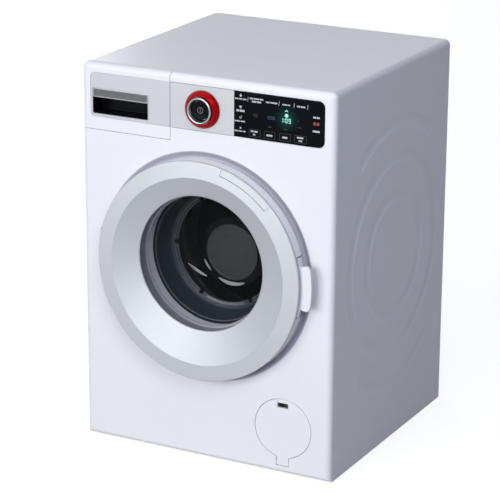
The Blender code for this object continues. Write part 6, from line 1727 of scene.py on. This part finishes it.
hub_highlight_slivers = [sliver((22.1, 22.1), (241, 294), 2.5, HUB_DEPTHS),
               sliver((22.8, 22.3), (201, 223), 1.3, HUB_DEPTHS)]
floor_highlight_slivers = [leaning(sliver((55.3, 49.0), (205 + angle, 221 + angle), 2.0, FLOOR_DEPTHS),
                         FLOOR_DEPTH - 1) for angle in FLOOR_TURNS]
print("slivers:", len(hub_highlight_slivers) + len(floor_highlight_slivers))
piece(joined(*hub_highlight_slivers), "hub_highlight_slivers", "drum", "black_plastic", look=HUB_PAINTED_HIGHLIGHT)
piece(joined(*floor_highlight_slivers), "floor_highlight_slivers", "drum", "black_plastic", look=FLOOR_PAINTED_HIGHLIGHT)

# %% [markdown]
# A grey disc closes the hub. Its face has a low rim and two fine turned lines.

# %% Hub disc
DISC_RADIUS = 19.3
DISC_SECTION = ((0, 36.1), (10.9, 36.1), (11.0, 36.2), (11.3, 36.2), (11.4, 36.1),
                (15.9, 36.1), (16.0, 36.22), (16.4, 36.22), (16.5, 36.1), (17.6, 36.1),
                (17.95, 35.86, 0.2), (18.9, 35.84, 0.3), (DISC_RADIUS, 36.2, 0.3),
                (DISC_RADIUS, 37.1), (0, 37.1))
piece(turned(DISC_SECTION, 0, DOOR_Z, closed=False), "hub_disc", "drum", "charcoal_plastic",
      "hub_cap")
print("hub disc radius", DISC_RADIUS, "mm")

# %% [markdown]
# The service flap is a round door with a tab that hides its hinge. A notch at its top lets a
# fingernail in; above the notch the flap's lip lies a little deeper.

# %% Service flap
FLAP_SEAM = 0.12
FLAP_THICK = 1.8
FLAP_BARREL = 2.2
TRUNNION, TRUNNION_REACH = 1.0, 2.4
NOTCH_XS = (53.1, 61.1)
NOTCH_CORNERS = (0.6, 0.6, 0.2, 0.2)
flap = worked(plate(flap_outline(-FLAP_SEAM), (0, FLAP_THICK), edge=0.25),
              ("add", flap_rod(FLAP_BARREL, 0, 32)),
              ("add", flap_rod(TRUNNION, TRUNNION_REACH, 20)),
              ("cut", block(NOTCH_XS, (-1, 0.5), (49.7, 54))),
              ("cut", plate(soft_rectangle(NOTCH_XS, (46.6, 49.9), NOTCH_CORNERS), (-1, 3))))
piece(flap, "round_flap", "flap", "white_plastic", "service_flap")
print("flap radius", FLAP_RADIUS, "mm")

# %% [markdown]
# The rear cover carries the loudspeaker's slots, six screws and the battery cover. Inside, a
# lip fits the housing and a collar holds the loudspeaker. Outside, a fine turned border runs
# round the slots. The screws sit in countersinks.

# %% Rear cover
COVER_DEPTHS = (176, 173.6)
COVER_CORNERS = (0, 0, 4, 4)
LIP = ((-89.3, 89.3), (169.9, 174.2), (7.5, 257.3))
LIP_ROOM = ((-87.7, 87.7), (160, 174.6), (9.1, 255.7))
SPEAKER_PLACE = (52, 205)
SPEAKER_REACH = 15.6
SPEAKER_COLLAR = ((18.3, 169.6), (19.7, 169.6), (19.7, 174.2), (18.3, 174.2))
SPEAKER_BORDER = ((16.9, 176.4), (17.7, 176.4), (17.7, 175.75), (16.9, 175.75))
SLOTS = 7
SLOT_PITCH = 4.4
SLOT_HALF = 0.9
SLOT_CORNER = 0.85
THROUGH = 178
BATTERY_XS = (-52.1, 52.1)
BATTERY_ZS = (12, 67)
SINK_RADIUS, SINK_DEPTH = 3.0, 174.6


def speaker_slots():
    """Slots whose ends follow a circle round the loudspeaker."""
    x, z = SPEAKER_PLACE
    slots = []
    for number in range(SLOTS):
        offset = (number - (SLOTS - 1) / 2) * SLOT_PITCH
        half = math.sqrt(SPEAKER_REACH ** 2 - offset ** 2)
        zs = (z + offset - SLOT_HALF, z + offset + SLOT_HALF)
        outline = soft_rectangle((x - half, x + half), zs, SLOT_CORNER, steps=5)
        slots.append(plate(outline, (172, THROUGH)))
    return joined(*slots)


def rear_cover():
    outline = soft_rectangle((-HALF_WIDTH, HALF_WIDTH), (SHELL_LOW, SHELL_HIGH), COVER_CORNERS,
                             steps=8)
    window = plate(soft_rectangle(BATTERY_XS, BATTERY_ZS, 1.5), (160, THROUGH))
    return worked(plate(outline, COVER_DEPTHS, edge=0.5),
                  ("add", worked(block(*LIP), ("cut", block(*LIP_ROOM)))),
                  ("add", turned(SPEAKER_COLLAR, *SPEAKER_PLACE, 48)),
                  ("cut", window),
                  ("cut", speaker_slots()),
                  ("cut", pegs(SCREW_HOLE, COLUMNS, (165, THROUGH), 24)),
                  ("cut", pegs(SINK_RADIUS, COLUMNS, (SINK_DEPTH, THROUGH), 40)),
                  ("cut", turned(SPEAKER_BORDER, *SPEAKER_PLACE, 72)))


back = piece(rear_cover(), "back_cover", "cabinet", "white_plastic", "rear_cover")
print("rear cover:", len(back.data.polygons), "faces")

# %% [markdown]
# The battery cover lies flush in its opening. Ribs pressed into it give the thumb a hold.

# %% Battery cover
LID_DEPTHS = (176, 174)
RIB_ZS = (55.0, 57.4, 59.8, 62.2)
lid = plate(soft_rectangle((-51.8, 51.8), (12.3, 66.7), 1.3), LID_DEPTHS, edge=0.3)
ribs = [plate(soft_rectangle((-9, 9), (z, z + 1.0), 0.45, steps=4), (175.5, 177)) for z in RIB_ZS]
piece(worked(lid, ("cut", joined(*ribs))), "battery_lid", "cabinet", "white_plastic",
      "battery_cover")
print("thumb ribs:", len(RIB_ZS))

# %% [markdown]
# The screws have countersunk heads with cross recesses. The cross is two bars joined before
# it is cut.

# %% Screws
SCREW_SECTION = ((0, 175.95), (1.9, 175.95), (2.7, 175.6, 0.2), (2.5, 174.9, 0.15),
                 (1.25, 174.85), (1.25, 160.9, 0.4), (0, 160.4))
SCREW_STEPS = 32
CROSS_LONG, CROSS_NARROW, CROSS_DEPTHS = 1.3, 0.3, (175.0, 177)


def cross_bar(x, z, half_x, half_z):
    return block((x - half_x, x + half_x), CROSS_DEPTHS, (z - half_z, z + half_z))


def screw(x, z):
    """A countersunk screw with a cross recess."""
    cross = worked(cross_bar(x, z, CROSS_LONG, CROSS_NARROW),
                   ("add", cross_bar(x, z, CROSS_NARROW, CROSS_LONG)))
    return worked(turned(SCREW_SECTION, x, z, SCREW_STEPS, closed=False), ("cut", cross))


for number, (x, z) in enumerate(COLUMNS, 1):
    piece(screw(x, z), f"back_screw_{number}", "cabinet", "steel", f"rear_screw_{number}")
print("screws:", number)

# %% [markdown]
# Under the cabinet lies the base plate with four recessed rubber feet. Each foot is a turned
# pad with a shallow hollow, as glued feet have.

# %% Base and feet
BASE_XS, BASE_DEPTHS = (-89.3, 89.3), (2.7, 173.3)
RIB_XS, RIB_DEPTHS = (-87.5, 87.5), (4.5, 171.5)
MOTOR_RELIEFS = (((34.6, 80.2), (0, 16.8), (3.2, 8)), ((45.7, 69.1), (0, 7.1), (3.2, 8)))
FOOT_PLACES = [(side * 76, depth) for side in (-1, 1) for depth in (16, 160)]
FOOT_RECESS, FOOT_RECESS_ZS = 7.3, (0, 2.0)
FOOT_SECTION = ((0, 0.35), (4.2, 0.35), (5.0, 0, 0.3), (7.0, 0, 0.5), (7.0, 1.95), (0, 1.95))
FOOT_STEPS = 64


def base():
    """The floor with rounded lower edges and round foot recesses."""
    ribs = worked(block(BASE_XS, BASE_DEPTHS, (2.0, 7.2)),
                  ("cut", block(RIB_XS, RIB_DEPTHS, (1.5, 8))))
    recesses = [upright_rod(FOOT_RECESS, place, FOOT_RECESS_ZS, FOOT_STEPS)
                for place in FOOT_PLACES]
    return worked(block(BASE_XS, BASE_DEPTHS, (0.8, 3.2), edge=0.4), ("add", ribs),
                  *[("cut", block(*relief)) for relief in MOTOR_RELIEFS],
                  ("cut", joined(*recesses)))


piece(base(), "floor_plate", "cabinet", "white_plastic", "base_plate")
for number, place in enumerate(FOOT_PLACES, 1):
    piece(upright_turned(FOOT_SECTION, *place, FOOT_STEPS), f"rubber_foot_{number}", "cabinet",
          "foot_rubber", f"foot_{number}")
print("feet:", number)

# %% [markdown]
# The visual model must keep the size of the CAD model.

# %% End
print("end of the scene script")
